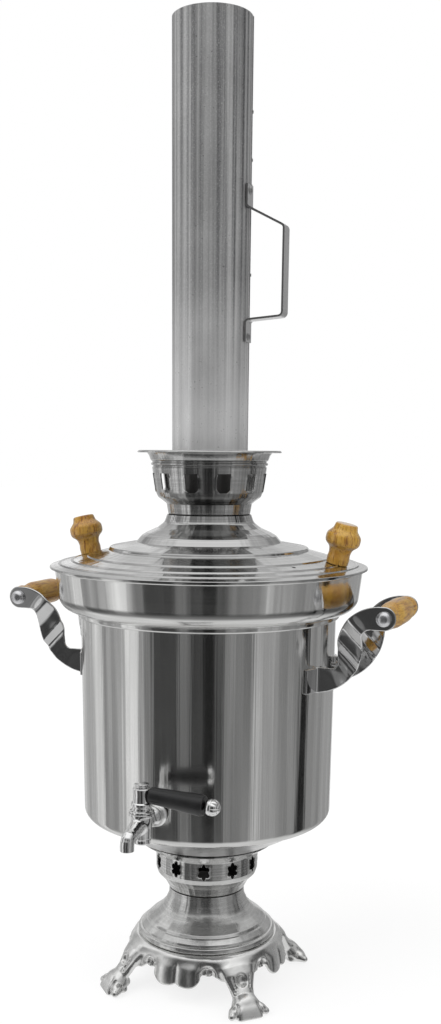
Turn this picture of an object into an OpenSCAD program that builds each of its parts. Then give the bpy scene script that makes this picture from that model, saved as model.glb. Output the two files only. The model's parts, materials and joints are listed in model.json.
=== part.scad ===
// Charcoal samovar: polished tank on a cast paw-footed stand, with a lid, a teapot crown,
// a lift-off chimney, two bracketed side handles and a plug-cock tap.
// The tank's axis is the Z axis, the floor is z = 0 and the tap points towards -Y.

/* [Stand] */
// Height of the cast base from the floor to its top plate
base_h = 43; // [38:0.5:52]
// Radius of the base's top ledge outside the pedestal
ledge_w = 2.2; // [1:0.1:5]
// How far the skirt spreads beyond the ledge
skirt_flare = 8; // [5:0.5:12]
// Thickness of the casting
cast_t = 3.2; // [2.5:0.1:4]
// Height of the skirt's lowest lobes above the floor
lobe_z = 17; // [14:0.5:20]
// Distance of each paw's centre from the axis
paw_reach = 86.5; // [82:0.5:92]
// Radius of each paw's pad
paw_r = 10.5; // [9:0.5:12]
// Height of the pedestal
pedestal_h = 42; // [38:0.5:60]
// Outer radius of the pedestal's foot bead
foot_r = 59.8; // [56:0.1:64]
// Outer radius of the pedestal's neck
neck_r = 32.6; // [29:0.1:36]

/* [Vent collar] */
// Height of the vent collar
collar_h = 40.4; // [36:0.1:56]
// Outer radius of the vent collar
collar_r = 44; // [42:0.1:48]
// Number of air holes round the collar
vents = 11; // [8:1:12]
// Height of an air hole
vent_h = 14.5; // [8:0.5:15]

/* [Tank] */
// Outer diameter of the tank wall
body_d = 210; // [200:1:230]
// Height of the tank wall
body_h = 169.8; // [150:0.1:260]
// Height of the sloping tank bottom
dome_h = 26.8; // [22:0.1:34]
// Radius of the roll between tank wall and bottom
roll_r = 8; // [6:0.5:10]
// Height of the upper bowl
bowl_h = 39.4; // [34:0.1:60]
// How far the bowl stands out beyond the tank wall
bowl_out = 20.3; // [16:0.1:26]
// Sheet thickness of tank, bowl and lid
sheet_t = 0.8; // [0.6:0.1:1]

/* [Fire tube] */
// Outer radius of the fire tube
tube_r = 29; // [26:0.1:30]
// Outer radius of the firebox at its foot
firebox_r = 41.6; // [40:0.1:42]
// Height of the wide firebox
firebox_h = 74; // [50:1:100]
// How far the fire tube reaches above the lid's neck
tube_over = 14; // [10:0.5:20]
// Wall of the fire tube, pedestal and collar
tube_t = 1; // [0.8:0.1:1.2]
// Thickness of the grate
grate_t = 4; // [3:0.5:5]
// Width of a slot in the grate
grate_slot = 4.4; // [3:0.1:5]

/* [Lid] */
// How far the lid overhangs the bowl's rim
lid_over = 4; // [3:0.1:6]
// Height of the lid from its rim to its neck
lid_h = 42; // [38:0.5:50]
// Outer radius of the lid's neck
lid_neck_r = 33.9; // [32:0.1:35]
// Depth of the ring that centres the lid in the bowl
lid_ring_h = 10; // [6:0.5:14]
// Distance of the lid's knobs from its edge
knob_inset = 21.3; // [16:0.1:27]
// Height of a lid knob
knob_h = 32; // [30:0.5:40]
// Greatest diameter of a lid knob
knob_d = 27.5; // [24:0.5:30]

/* [Crown] */
// Height of the teapot crown
crown_h = 50; // [48:0.5:60]
// Outer radius of the crown's rim
crown_rim_r = 57; // [56:0.5:62]
// Number of windows round the crown
windows = 11; // [8:1:12]
// Width of a window
window_w = 10.4; // [7:0.1:12]
// Height of a window
window_h = 14.5; // [9:0.1:15]

/* [Chimney] */
// Outer diameter of the chimney pipe
pipe_d = 60; // [60:0.1:62]
// Length of the chimney pipe
pipe_h = 357; // [250:1:500]
// Wall of the chimney pipe
pipe_t = 0.6; // [0.5:0.1:0.6]
// Distance of the strap handle's grip from the pipe's wall
strap_reach = 31; // [28:0.5:40]
// Width of the strap
strap_w = 12; // [9:0.5:13]
// Thickness of the strap
strap_t = 1.5; // [1:0.1:2]
// Height of the strap's lower rivet above the pipe's lower end
strap_z = 134; // [110:1:140]
// Distance between the strap's two rivets
strap_h = 104; // [90:1:110]

/* [Side handles] */
// Distance of each grip's axis from the tank wall
grip_reach = 52; // [50:0.5:60]
// Height of the grip's axis above the middle of the bracket's foot
grip_rise = 52.5; // [52:0.5:58]
// Height of the bracket's foot above the tank wall's lower end
bracket_z = 127.8; // [110:0.1:128]
// Distance between the two feet of a bracket pair
foot_gap = 56; // [50:0.5:60]
// Distance between the two upper ends of a bracket pair
grip_len = 80; // [74:0.5:90]
// Diameter of the wooden grip at its middle
grip_d = 21; // [18:0.5:22]
// Thickness of a bracket
bracket_t = 2; // [1.5:0.1:2.4]
// Width of a bracket's foot
bracket_w = 20.5; // [18:0.5:21]
// Diameter of the steel rod in a grip
rod_d = 5; // [4:0.1:6]

/* [Tap] */
// Height of the tap's inlet above the tank wall's lower end
tap_z = 28.3; // [28:0.1:40]
// Distance of the plug's axis from the tank wall
tap_reach = 26; // [24:0.5:32]
// Distance of the spout's mouth in front of the plug's axis
spout_reach = 26; // [25:0.5:32]
// Outer diameter of the spout
spout_d = 10.6; // [10.4:0.1:12]
// Diameter of the water way
way_d = 6.4; // [5.8:0.1:6.6]
// Diameter of the turning plug
plug_d = 10; // [9.6:0.1:10.4]
// Length of the lever from the plug's axis to its ball
lever_len = 57; // [50:0.5:62]
// How far the lever droops below level, in degrees
lever_droop = 4; // [2:0.5:5]

/* [Hidden] */
// Number of sides used to draw a round surface
$fn = 96;
// Largest angle between neighbouring points of a rounded corner
arc_step = 11;

// Clearances
seat_gap = 0.1;
lift_gap = 0.2;
pass_gap = 0.3;
run_gap = 0.06;
ring_gap = 0.8;
curve_gap = 0.25;

// Heights of the joints between the pieces
pedestal_z = base_h;
collar_z = pedestal_z + pedestal_h;
dome_z = collar_z + collar_h;
body_z = dome_z + dome_h;
bowl_z = body_z + body_h;
rim_z = bowl_z + bowl_h;
lid_z = rim_z + lift_gap;
crown_z = lid_z + lid_h + lift_gap;
pipe_z = crown_z + tube_t + lift_gap;
tube_top_z = lid_z + lid_h + tube_over;

// Radii that follow from the sizes above
body_r = body_d / 2;
body_in_r = body_r - sheet_t;
bowl_r = body_r + bowl_out;
bowl_in_r = bowl_r - sheet_t;
lid_r = bowl_r + lid_over;
pipe_r = pipe_d / 2;
dome_foot_r = collar_r + 2.5;
dome_top_r = body_r - roll_r;
ledge_r = foot_r + ledge_w;

// Legs of the base
legs = 4;
leg_root = 15;
ankle_w = 15.5;
knee_x = ledge_r + skirt_flare + 2;
paw_top = 14.4;

// Screws that hold the pedestal on the base
base_screws = 4;
base_screw_d = 4;
base_screw_ring = foot_r - 8;
base_screw_hole = base_screw_d + 2 * pass_gap;
pedestal_flange_r = foot_r - 14;

// Grate
grate_r = firebox_r - tube_t - 0.6;
collar_lip_r = grate_r - 2.8;

// Lid outline: the brim's ribs and the seat of the knobs
brim_in_r = lid_r - 31.3;
brim_rise = 7.4;
brim_slope = atan(brim_rise / (lid_r - brim_in_r));
rib_w = 2.4;
rib_h = 0.7;
knob_rib_r = lid_r - 18;
bowl_lean = 3.6 / (rim_z - sheet_t - bowl_z - 6.6);
lid_ring_r = bowl_in_r - ring_gap;
knob_place = lid_r - knob_inset;
knob_screw_d = 4;
knob_hole_d = knob_screw_d + 2 * pass_gap;

// Crown: height and tilt of the windows
window_z = crown_z + crown_h / 2;

// Chimney strap
strap_rivet_d = 3.2;
seam_from = 14;
seam_to = 22;
seam_t = 0.5;
seam_rivets = [180, 243, 261, 294];

// Bracket of a side handle, as seen from the front of the right handle
bracket_foot_z = body_z + bracket_z;
grip_x = body_r + grip_reach;
grip_z = bracket_foot_z + grip_rise;
waist_w = 21;
waist_in_x = grip_x - 37.5;
waist_out_x = waist_in_x + waist_w;
eye_r = 9;
lower_bend_r = 41;
upper_bend_r = 34.5;
bracket_low = bracket_foot_z - bracket_w / 2;
foot_in = 8;
foot_tab_from = asin(foot_in / body_r);
foot_tab_to = asin((foot_gap / 2 - bracket_t / 2) / body_r);
foot_tab_inset = 0.8;
rivet_d = 3.6;
rivet_head_d = 7;
rivet_rise = 1.9;
rivet_rows = [-5.5, 5.5];
rivet_turn = (foot_tab_from + foot_tab_to) / 2 - 1.2;
cap_nut_d = 9.6;

// Tap
tap_inlet_z = body_z + tap_z;
plug_y = -(body_r + tap_reach);
shank_d = 13;
shank_hole_d = shank_d + 2 * pass_gap;
gasket_t = 1.2;
rosette_d = 20;
rosette_t = 6;
barrel_low = -12;
barrel_high = 8.5;
barrel_low_d = 13;
barrel_high_d = 17;
collar_d = 20;
plug_r = plug_d / 2;
bore_r = plug_r + run_gap;
spout_drop = 10;
spout_bend_r = 7;
spout_low = 14;
spout_r = spout_d / 2;
head_d = 13;
head_h = 19.5;
cap_d = 12.5;
cap_h = 3.4;
cap_pin_d = 4;
cap_pin_h = 1.8;
lever_z = 14.8;
lever_rod_d = 4.4;
grip_small_d = 12.6;
grip_large_d = 16.5;
ball_d = 13;
bottom_nut_h = 3.8;
bottom_nut_d = 13;

// ---------- outlines ----------

function unit(v) = v / norm(v);
function left_of(v) = [-v[1], v[0]];
function flat(p) = [p[0], p[1]];

// Points of an arc of radius r that rounds the corner at b between a and c
function fillet(a, b, c, r) =
    let(u = unit(a - b), v = unit(c - b), half = acos(u * v) / 2)
    let(m = b + unit(u + v) * r / sin(half), p = b + u * r / tan(half))
    let(turn = sign(left_of(u) * v) * (2 * half - 180))
    let(start = atan2(p[1] - m[1], p[0] - m[0]), n = max(1, ceil(abs(turn) / arc_step)))
    [for (i = [0 : n]) m + r * [cos(start + turn * i / n), sin(start + turn * i / n)]];

// Outline through points [x, y, r], where r rounds that corner and may be left out
function rounded(p) = [for (i = [0 : len(p) - 1])
    each (len(p[i]) < 3 ? [flat(p[i])] : fillet(flat(p[i - 1]), flat(p[i]), flat(p[i + 1]), p[i][2]))];

// Point i of outline p, moved t to its left so that walls keep their thickness
function shifted(p, i, t) =
    let(a = i > 0 ? unit(p[i] - p[i - 1]) : unit(p[1] - p[0]))
    let(b = i < len(p) - 1 ? unit(p[i + 1] - p[i]) : a, m = unit(left_of(a) + left_of(b)))
    p[i] + m * t / (m * left_of(a));

// Closed outline of a sheet of thickness t that lies to the left of outline p
function sheet(p, t) = concat(p, [for (i = [len(p) - 1 : -1 : 0]) shifted(p, i, t)]);

// A sheet spun round the Z axis; its outline runs upwards with the outside on the right
module spun_sheet(points, t) {
    rotate_extrude() polygon(sheet(rounded(points), t));
}

// Lathe-turned solid whose outline runs from the bottom of the axis to its top
module turned(points) {
    rotate_extrude() polygon(rounded(points));
}

module around(n, first = 0) {
    for (i = [0 : n - 1]) rotate(first + i * 360 / n) children();
}

// ---------- stand ----------

// One side of the skirt's lower edge, seen from outside: two lobes that meet in a low cusp
module apron_outline() {
    lobe_r = 9.5;
    for (side = [-1, 1]) translate([side * 9, lobe_z + lobe_r]) circle(lobe_r, $fn = 48);
    translate([-18.4, lobe_z + lobe_r]) square([36.8, base_h]);
    translate([-6, lobe_z + 3.5]) square([12, base_h]);
}

// Root of a leg on the skirt, with a scroll on either side of it
module leg_outline() {
    scroll_r = 5;
    for (side = [-1, 1]) translate([side * leg_root, lobe_z + 12]) circle(scroll_r, $fn = 32);
    translate([-leg_root, lobe_z + 10]) square([2 * leg_root, base_h]);
    translate([-11, lobe_z + 4]) square([22, base_h]);
}

module skirt_cut(angle) {
    rotate(angle) rotate([90, 0, 0]) linear_extrude(ledge_r + skirt_flare + 5) children();
}

module skirt() {
    outer = [[ledge_r + skirt_flare, lobe_z - 1], [ledge_r + skirt_flare * 0.8, lobe_z + 12, 14],
        [ledge_r, base_h - 0.2, 2.4], [ledge_r - 4, base_h]];
    rotate_extrude() polygon(sheet(rounded(outer), cast_t));
}

// A leg seen from its side: down the skirt, round the heel and out to the paw
module leg_side() {
    polygon(rounded([
        [ledge_r - 2, lobe_z + 20],
        [knee_x - 3, lobe_z + 20, 2],
        [knee_x, lobe_z + 12, 14],
        [knee_x + 1.6, paw_top + 3.5, 6],
        [paw_reach, paw_top - 0.5, 10],
        [paw_reach + 6, paw_top - 5],
        [paw_reach, 4],
        [knee_x + 3, 7, 8],
        [knee_x - 6, lobe_z + 1, 10],
        [ledge_r - 2, lobe_z + 10]
    ]));
}

// A leg seen from the front: wide at the skirt, drawn in to the ankle
module leg_front() {
    polygon(rounded([
        [-leg_root, base_h],
        [-leg_root, lobe_z + 8, 6],
        [-ankle_w / 2 - 3.4, lobe_z, 8],
        [-ankle_w / 2, lobe_z - 6, 8],
        [-ankle_w / 2, 0],
        [ankle_w / 2, 0],
        [ankle_w / 2, lobe_z - 6, 8],
        [ankle_w / 2 + 3.4, lobe_z, 8],
        [leg_root, lobe_z + 8, 6],
        [leg_root, base_h]
    ]));
}

// A leg seen from above, with its root rounded off to meet the skirt
module leg_plan() {
    outline = rounded([
        [ledge_r - 8, leg_root + 4],
        [ledge_r + 3, leg_root, 5],
        [knee_x - 1, leg_root - 6, 8],
        [knee_x + 5, ankle_w / 2, 8],
        [paw_reach + 10, ankle_w / 2]
    ]);
    axis_side = [[paw_reach + 10, -1], [ledge_r - 8, -1]];
    for (side = [0, 1]) mirror([0, side]) polygon(concat(outline, axis_side));
}

module leg() {
    intersection() {
        rotate([90, 0, 0]) linear_extrude(2 * leg_root, center = true) leg_side();
        rotate([90, 0, 90]) linear_extrude(paw_reach + 20) leg_front();
        linear_extrude(base_h) leg_plan();
    }
}

module paw() {
    toe_r = 4.6;
    toe_z = 4.3;
    intersection() {
        union() {
            translate([paw_reach, 0, paw_top - paw_r]) sphere(r = paw_r, $fn = 48);
            for (side = [-1, 1]) {
                translate([paw_reach + 2, side * 10.6, toe_z]) sphere(r = toe_r, $fn = 32);
                translate([paw_reach + 7, side * 4.2, toe_z]) sphere(r = toe_r, $fn = 32);
            }
            translate([paw_reach - 8, 0, toe_z]) sphere(r = toe_r + 1, $fn = 32);
        }
        translate([paw_reach, 0, 25]) cube(50, center = true);
    }
}

module foot_base() color("#b9bbbd") {
    difference() {
        union() {
            intersection() {
                skirt();
                union() {
                    for (i = [0 : legs - 1]) {
                        skirt_cut(i * 90) apron_outline();
                        skirt_cut(45 + i * 90) leg_outline();
                    }
                    translate([0, 0, lobe_z + 14]) cylinder(r = ledge_r + skirt_flare + 5, h = base_h);
                }
            }
            translate([0, 0, base_h - cast_t]) difference() {
                cylinder(r = ledge_r - 3, h = cast_t);
                translate([0, 0, -1]) cylinder(r = pedestal_flange_r - 2, h = cast_t + 2);
            }
            around(legs, 45) leg();
            around(legs, 45) paw();
        }
        around(base_screws) translate([base_screw_ring, 0, base_h - 2 * cast_t])
            cylinder(d = base_screw_hole, h = 3 * cast_t);
        inside_skirt();
    }
}

// Keeps the leg roots from filling the hollow under the base
module inside_skirt() {
    translate([0, 0, -1]) cylinder(r = ledge_r - cast_t - 1, h = base_h - cast_t + 1);
}

module base_screws() color("#8f9193") {
    head_h = 2.6;
    around(base_screws) translate([base_screw_ring, 0, 0]) {
        translate([0, 0, base_h - cast_t - seat_gap - head_h]) cylinder(d = 1.8 * base_screw_d, h = head_h);
        translate([0, 0, base_h - cast_t - seat_gap]) cylinder(d = base_screw_d, h = cast_t + tube_t + 4.4);
    }
}

module base_nuts() color("#8f9193") {
    nut_h = 3;
    around(base_screws) translate([base_screw_ring, 0, base_h + tube_t + 2 * seat_gap]) difference() {
        cylinder(d = 1.9 * base_screw_d, h = nut_h, $fn = 6);
        translate([0, 0, -1]) cylinder(d = base_screw_d + 2 * run_gap, h = nut_h + 2);
    }
}

module pedestal() color("#c4c6c8") {
    bead = 2.3;
    shoulder = foot_r - 7.6;
    difference() {
        spun_sheet([
            [pedestal_flange_r, pedestal_z + seat_gap],
            [foot_r, pedestal_z + seat_gap, bead],
            [foot_r, pedestal_z + 6, bead],
            [foot_r - 3.2, pedestal_z + 6, 0.5],
            [foot_r - 3.7, pedestal_z + 7.8, 1.3],
            [foot_r - 7, pedestal_z + 11.4, 0.8],
            [shoulder, pedestal_z + 12.8],
            [shoulder - 1.8, pedestal_z + 15.2, 4],
            [neck_r + 5.9, pedestal_z + 20.5, 12],
            [neck_r + 0.8, collar_z - 11.5, 15],
            [neck_r - 0.2, collar_z]
        ], tube_t);
        around(base_screws) translate([base_screw_ring, 0, pedestal_z - 1])
            cylinder(d = base_screw_hole, h = 4);
    }
}

// ---------- vent collar, grate and fire tube ----------

// Elongated six-lobed air hole
module vent_outline() {
    lobe = vent_h * 0.16;
    for (side = [-1, 1]) translate([0, side * (vent_h / 2 - lobe)]) circle(lobe, $fn = 24);
    for (x = [-1, 1], y = [-1, 1])
        translate([x * vent_h * 0.18, y * vent_h * 0.17]) circle(lobe * 0.7, $fn = 24);
    square([vent_h * 0.34, vent_h * 0.62], center = true);
}

module vent_collar() color("#c4c6c8") {
    vent_z = dome_z - 14.2;
    first_vent = 18.7 - 90;
    difference() {
        spun_sheet([
            [neck_r + 0.4, collar_z + seat_gap],
            [neck_r + 4.4, collar_z + 8, 9],
            [collar_r - 1.2, collar_z + 14, 5],
            [collar_r, collar_z + 18.5, 3],
            [collar_r, dome_z - seat_gap, 1.3],
            [collar_lip_r, dome_z - seat_gap]
        ], tube_t);
        around(vents, first_vent) translate([collar_r - 6, 0, vent_z]) rotate([90, 0, 90])
            linear_extrude(10) vent_outline();
    }
}

module grate() color("#3a3a3b") {
    bars = 3;
    pitch = 2.05 * grate_slot;
    translate([0, 0, dome_z]) difference() {
        cylinder(r = grate_r, h = grate_t);
        for (i = [-bars : bars]) {
            slot_l = 1.56 * sqrt(pow(grate_r, 2) - pow(i * pitch, 2));
            translate([i * pitch, 0, grate_t / 2]) cube([grate_slot, slot_l, 2 * grate_t], center = true);
        }
    }
}

module fire_tube() color("#8c8e90") {
    floor_z = dome_z + sheet_t + 2 * seat_gap + tube_t;
    spun_sheet([
        [firebox_r + 3, floor_z],
        [firebox_r, floor_z, 1.4],
        [firebox_r, dome_z + firebox_h, 12],
        [tube_r, dome_z + firebox_h + 30, 12],
        [tube_r, tube_top_z]
    ], tube_t);
}

// ---------- tank ----------

module lower_dome() color("#c9cbcd") {
    spun_sheet([
        [firebox_r + 1, dome_z],
        [dome_foot_r, dome_z, 1],
        [dome_foot_r + 0.3, dome_z + 1.4, 0.6],
        [dome_top_r - seat_gap, body_z - 0.4, 2],
        [dome_top_r - seat_gap, body_z + 5]
    ], sheet_t);
}

module body_shell() color("#c9cbcd") {
    difference() {
        spun_sheet([
            [dome_top_r, body_z],
            [body_r, body_z, roll_r - 0.4],
            [body_r, bowl_z]
        ], sheet_t);
        rotate([90, 0, 0]) translate([0, tap_inlet_z, body_r - 10]) cylinder(d = shank_hole_d, h = 20);
        at_rivets() translate([0, 0, -8]) cylinder(d = rivet_d + 2 * pass_gap, h = 16);
    }
}

module upper_bowl() color("#c9cbcd") {
    bead_r = body_r + 2.9;
    spun_sheet([
        [body_in_r - 2, bowl_z + seat_gap],
        [bead_r, bowl_z + seat_gap, 1.6],
        [bead_r, bowl_z + 4.2, 1.6],
        [bead_r - 1, bowl_z + 5, 0.8],
        [bowl_r - 3.6, bowl_z + 6.4, 13],
        [bowl_r, rim_z - sheet_t - 0.2, 1.1],
        [bowl_r + 2, rim_z - sheet_t]
    ], sheet_t);
}

// ---------- lid ----------

// Height of the lid's surface on its outer brim
function brim_z(r) = lid_z + 1.4 + (lid_r - r) * tan(brim_slope);

// A fine raised ring on the brim at radius r
function rib(r) = [
    [r + rib_w / 2, brim_z(r + rib_w / 2)],
    [r + rib_w / 5, brim_z(r) + rib_h],
    [r - rib_w / 5, brim_z(r) + rib_h],
    [r - rib_w / 2, brim_z(r - rib_w / 2)]
];

module lid() color("#c4c6c8") {
    neck_z = lid_z + lid_h;
    step_r = lid_r - 49.3;
    shoulder_r = lid_neck_r + 23.4;
    brim_top = brim_z(brim_in_r);
    difference() {
        union() {
            spun_sheet(concat(
                [[lid_r, lid_z], [lid_r, brim_z(lid_r), 0.9]],
                rib(lid_r - 8),
                rib(knob_rib_r),
                [[brim_in_r + 1.2, brim_z(brim_in_r + 1.2)], [brim_in_r + 0.4, brim_top + 0.8],
                [step_r + 1.6, brim_top + 5.3, 1.2], [step_r + 0.6, brim_top + 8, 1.6],
                [shoulder_r + 0.8, neck_z - 19.4, 0.8], [shoulder_r - 0.6, neck_z - 16, 4],
                [lid_neck_r + 7, neck_z - 7.6, 9], [lid_neck_r, neck_z - 0.6]]), sheet_t);
            spun_sheet([
                [lid_ring_r - bowl_lean * lid_ring_h, lid_z - lid_ring_h],
                [lid_ring_r, brim_z(lid_ring_r) - sheet_t - 0.25]
            ], sheet_t);
            rotate_extrude() polygon([
                [lid_ring_r - sheet_t, brim_z(lid_ring_r) - 2.2],
                [lid_ring_r, brim_z(lid_ring_r) - 2.2],
                [lid_ring_r, brim_z(lid_ring_r) - 0.3],
                [lid_ring_r - sheet_t, brim_z(lid_ring_r - sheet_t) - 0.3]
            ]);
        }
        for (side = [-1, 1]) at_knob(side) translate([0, 0, -5]) cylinder(d = knob_hole_d, h = 10);
        for (turn = steam_turns) rotate(turn) translate([steam_r, 0, brim_z(steam_r) - 5])
            cylinder(d = steam_d, h = 10, $fn = 24);
    }
}

// Steam holes in the brim
steam_turns = [150, 330];
steam_r = lid_r - 26;
steam_d = 3;

// Places children on the brim, upright on its slope, at the right (1) or left (-1) knob
module at_knob(side) {
    translate([side * knob_place, 0, brim_z(knob_place)]) rotate([0, side * brim_slope, 0]) children();
}

module knob_shape() {
    foot = 8.6;
    translate([0, 0, seat_gap]) difference() {
        turned([[0, 0], [foot, 0, 0.8], [foot + 0.3, knob_h * 0.16, 2], [foot - 0.2, knob_h * 0.27, 3],
            [foot + 0.6, knob_h * 0.4, 5], [knob_d / 2, knob_h * 0.52, 5], [knob_d / 2, knob_h * 0.72, 5],
            [foot + 1, knob_h * 0.86, 4], [foot, knob_h, 1.5], [0, knob_h]]);
        translate([0, 0, -1]) cylinder(d = knob_screw_d + 2 * run_gap, h = knob_h * 0.55 + 1);
    }
}

// Groove in a knob's foot over the rib that it stands on
module rib_groove() {
    half = rib_w / 2 + run_gap;
    top = brim_z(knob_rib_r) + rib_h + run_gap;
    rotate_extrude() polygon([[knob_rib_r + half, top - 2], [knob_rib_r + half, top],
        [knob_rib_r - half, top], [knob_rib_r - half, top - 2]]);
}

module lid_knob_left() color("#c08a3e") difference() {
    at_knob(-1) knob_shape();
    rib_groove();
}

module lid_knob_right() color("#c08a3e") difference() {
    at_knob(1) knob_shape();
    rib_groove();
}

module lid_knob_screws() color("#8f9193") {
    head_h = 2.2;
    under = -sheet_t - seat_gap;
    for (side = [-1, 1]) at_knob(side) {
        translate([0, 0, under - head_h]) cylinder(d = 2.1 * knob_screw_d, h = head_h);
        translate([0, 0, under]) cylinder(d = knob_screw_d, h = knob_h * 0.5);
    }
}

// ---------- crown ----------

module window_outline() {
    cut = window_w * 0.24;
    w = window_w / 2;
    h = window_h / 2;
    polygon([[-w, h], [-w, cut - h], [cut - w, -h], [w - cut, -h], [w, cut - h], [w, h]]);
}

module crown() color("#c4c6c8") {
    top_z = crown_z + crown_h;
    seat_r = pipe_r - pipe_t;
    wide_r = lid_neck_r + 9.2;
    band_r = wide_r + 3;
    first_window = 3.7 - 90;
    difference() {
        spun_sheet([
            [seat_r, crown_z],
            [lid_neck_r - 0.8, crown_z, 1.3],
            [lid_neck_r + 0.6, crown_z + crown_h * 0.168],
            [lid_neck_r + 3, crown_z + crown_h * 0.208, 2],
            [wide_r - 1.6, crown_z + crown_h * 0.272, 4],
            [wide_r, crown_z + crown_h * 0.348, 3],
            [band_r, window_z + crown_h * 0.24],
            [band_r - 0.6, window_z + crown_h * 0.264],
            [band_r + 0.9, window_z + crown_h * 0.288, 0.9],
            [band_r + 0.2, window_z + crown_h * 0.332],
            [band_r + 2.2, top_z - crown_h * 0.084],
            [band_r + 4.6, top_z - tube_t, 3],
            [crown_rim_r, top_z - tube_t]
        ], tube_t);
        around(windows, first_window) translate([wide_r - 8, 0, window_z]) rotate([90, 0, 90])
            linear_extrude(16) window_outline();
    }
}

// ---------- chimney ----------

module chimney_pipe() color("#a9abad") {
    difference() {
        union() {
            translate([0, 0, pipe_z]) cylinder(r = pipe_r, h = pipe_h);
            rotate(seam_from) translate([0, 0, pipe_z]) rotate_extrude(angle = seam_to - seam_from)
                translate([pipe_r - pipe_t / 2, 0]) square([pipe_t / 2 + seam_t, pipe_h]);
        }
        translate([0, 0, pipe_z - 1]) cylinder(r = pipe_r - pipe_t, h = pipe_h + 2);
        at_strap_rivets() translate([0, 0, -6]) cylinder(d = strap_rivet_d + 2 * pass_gap, h = 12);
    }
}

module at_strap_rivets() {
    for (z = [strap_z, strap_z + strap_h])
        translate([pipe_r, 0, pipe_z + z]) rotate([0, 90, 0]) children();
}

module chimney_handle() color("#b4b6b8") {
    wall = pipe_r + seat_gap;
    low = pipe_z + strap_z;
    high = low + strap_h;
    bend = 4;
    difference() {
        rotate([90, 0, 0]) translate([0, 0, -strap_w / 2]) linear_extrude(strap_w) polygon(sheet(rounded([
            [wall + strap_t, low - 4],
            [wall + strap_t, low + 11.5, 2],
            [wall + strap_reach, low + 13.5, bend],
            [wall + strap_reach, high - 26, bend],
            [wall + strap_t, high - 11, 2],
            [wall + strap_t, high + 4]
        ]), strap_t));
        at_strap_rivets() translate([0, 0, -6]) cylinder(d = strap_rivet_d + 2 * pass_gap, h = 12);
    }
}

// A rivet along +Z through a stack of thickness grip, with a domed head at z = top
module rivet(d, head_d, rise, top, grip) {
    sphere_r = (pow(head_d / 2, 2) + pow(rise, 2)) / (2 * rise);
    translate([0, 0, top]) intersection() {
        translate([0, 0, rise - sphere_r]) sphere(r = sphere_r, $fn = 48);
        cylinder(d = head_d, h = rise + 1);
    }
    translate([0, 0, top - grip]) cylinder(d = d, h = grip);
    translate([0, 0, top - grip - 1]) cylinder(d = head_d, h = 1);
}

module chimney_rivets() color("#8f9193") {
    top = strap_t + 2 * seat_gap;
    at_strap_rivets() rivet(strap_rivet_d, 6, 1.4, top, top + pipe_t + 2 * seat_gap + curve_gap);
    for (z = seam_rivets) rotate((seam_from + seam_to) / 2)
        translate([pipe_r + seam_t, 0, pipe_z + z]) rotate([0, 90, 0]) cylinder(d = 2.4, h = 0.6, $fn = 24);
}

// ---------- side handles ----------

// Shape of a bracket seen from the front: a foot, a waist and an eye, joined by two bends
module bracket_outline() {
    low_centre = [waist_out_x - lower_bend_r, bracket_low + lower_bend_r];
    high_centre = [waist_in_x + upper_bend_r, grip_z + eye_r - upper_bend_r];
    difference() {
        intersection() {
            translate(low_centre) circle(lower_bend_r);
            translate([body_r - 4, bracket_low - 1]) square([lower_bend_r + 10, lower_bend_r + 1]);
        }
        translate([body_r - 40, bracket_low + bracket_w]) square([waist_in_x - body_r + 40, lower_bend_r]);
    }
    difference() {
        intersection() {
            translate(high_centre) circle(upper_bend_r);
            translate([waist_in_x - 1, high_centre[1]]) square([grip_x - waist_in_x + 1, upper_bend_r + 1]);
        }
        translate([waist_out_x, grip_z - eye_r - upper_bend_r]) square([upper_bend_r, upper_bend_r]);
    }
    translate([grip_x, grip_z]) circle(eye_r);
    corner_fill([waist_in_x, bracket_low + bracket_w], 5, -1);
    corner_fill([waist_out_x, grip_z - eye_r], 6, 1);
}

// Rounds an inner corner of the bracket: side -1 for the foot's, 1 for the eye's
module corner_fill(at, r, side) {
    translate(at) difference() {
        translate([side > 0 ? 0 : -r, side > 0 ? -r : 0]) square(r);
        translate([side * r, -side * r]) circle(r);
    }
}

// Cross-section of the joggled plate, taken square to its slanted fold
module joggle_section() {
    fold = 4.2;
    inner = foot_gap / 2;
    outer = grip_len / 2;
    polygon(sheet([[-80, -inner], [-fold, -inner], [fold, -outer], [80, -outer]], bracket_t));
}

module bracket() {
    fold_x = (waist_in_x + waist_out_x) / 2;
    fold_z = (bracket_low + lower_bend_r + grip_z + eye_r - upper_bend_r) / 2 - 8;
    difference() {
        union() {
            intersection() {
                rotate([90, 0, 0]) linear_extrude(grip_len) bracket_outline();
                translate([fold_x, 0, fold_z]) rotate([0, -45, 0]) translate([0, 0, -80])
                    linear_extrude(160) joggle_section();
            }
            bracket_foot();
        }
        cylinder_cut();
        translate([grip_x, 0, grip_z]) rotate([90, 0, 0]) cylinder(d = rod_d + 2 * pass_gap, h = grip_len);
        at_bracket_rivets() translate([0, 0, -8]) cylinder(d = rivet_d + 2 * pass_gap, h = 16);
    }
}

// Keeps the bracket's edge on the tank wall
module cylinder_cut() {
    translate([0, 0, body_z]) cylinder(r = body_r + seat_gap, h = body_h);
}

// Curved tab that lies on the tank wall beside the bracket's foot
module bracket_foot() {
    translate([0, 0, bracket_low + foot_tab_inset]) rotate(-foot_tab_to)
        rotate_extrude(angle = foot_tab_to - foot_tab_from)
            translate([body_r - 1, 0]) square([bracket_t + seat_gap + 1, bracket_w - 2 * foot_tab_inset]);
}

// Rivets of the right front bracket, each along its own radius
module at_bracket_rivets() {
    for (z = rivet_rows) rotate(-rivet_turn) translate([body_r, 0, bracket_foot_z + z]) rotate([0, 90, 0])
        children();
}

module at_rivets() {
    for (side = [0, 1], end = [0, 1])
        mirror([side, 0, 0]) mirror([0, end, 0]) at_bracket_rivets() children();
}

module handle_arm_right_front() color("#8d8f91") bracket();

module handle_arm_right_rear() color("#8d8f91") mirror([0, 1, 0]) bracket();

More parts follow.
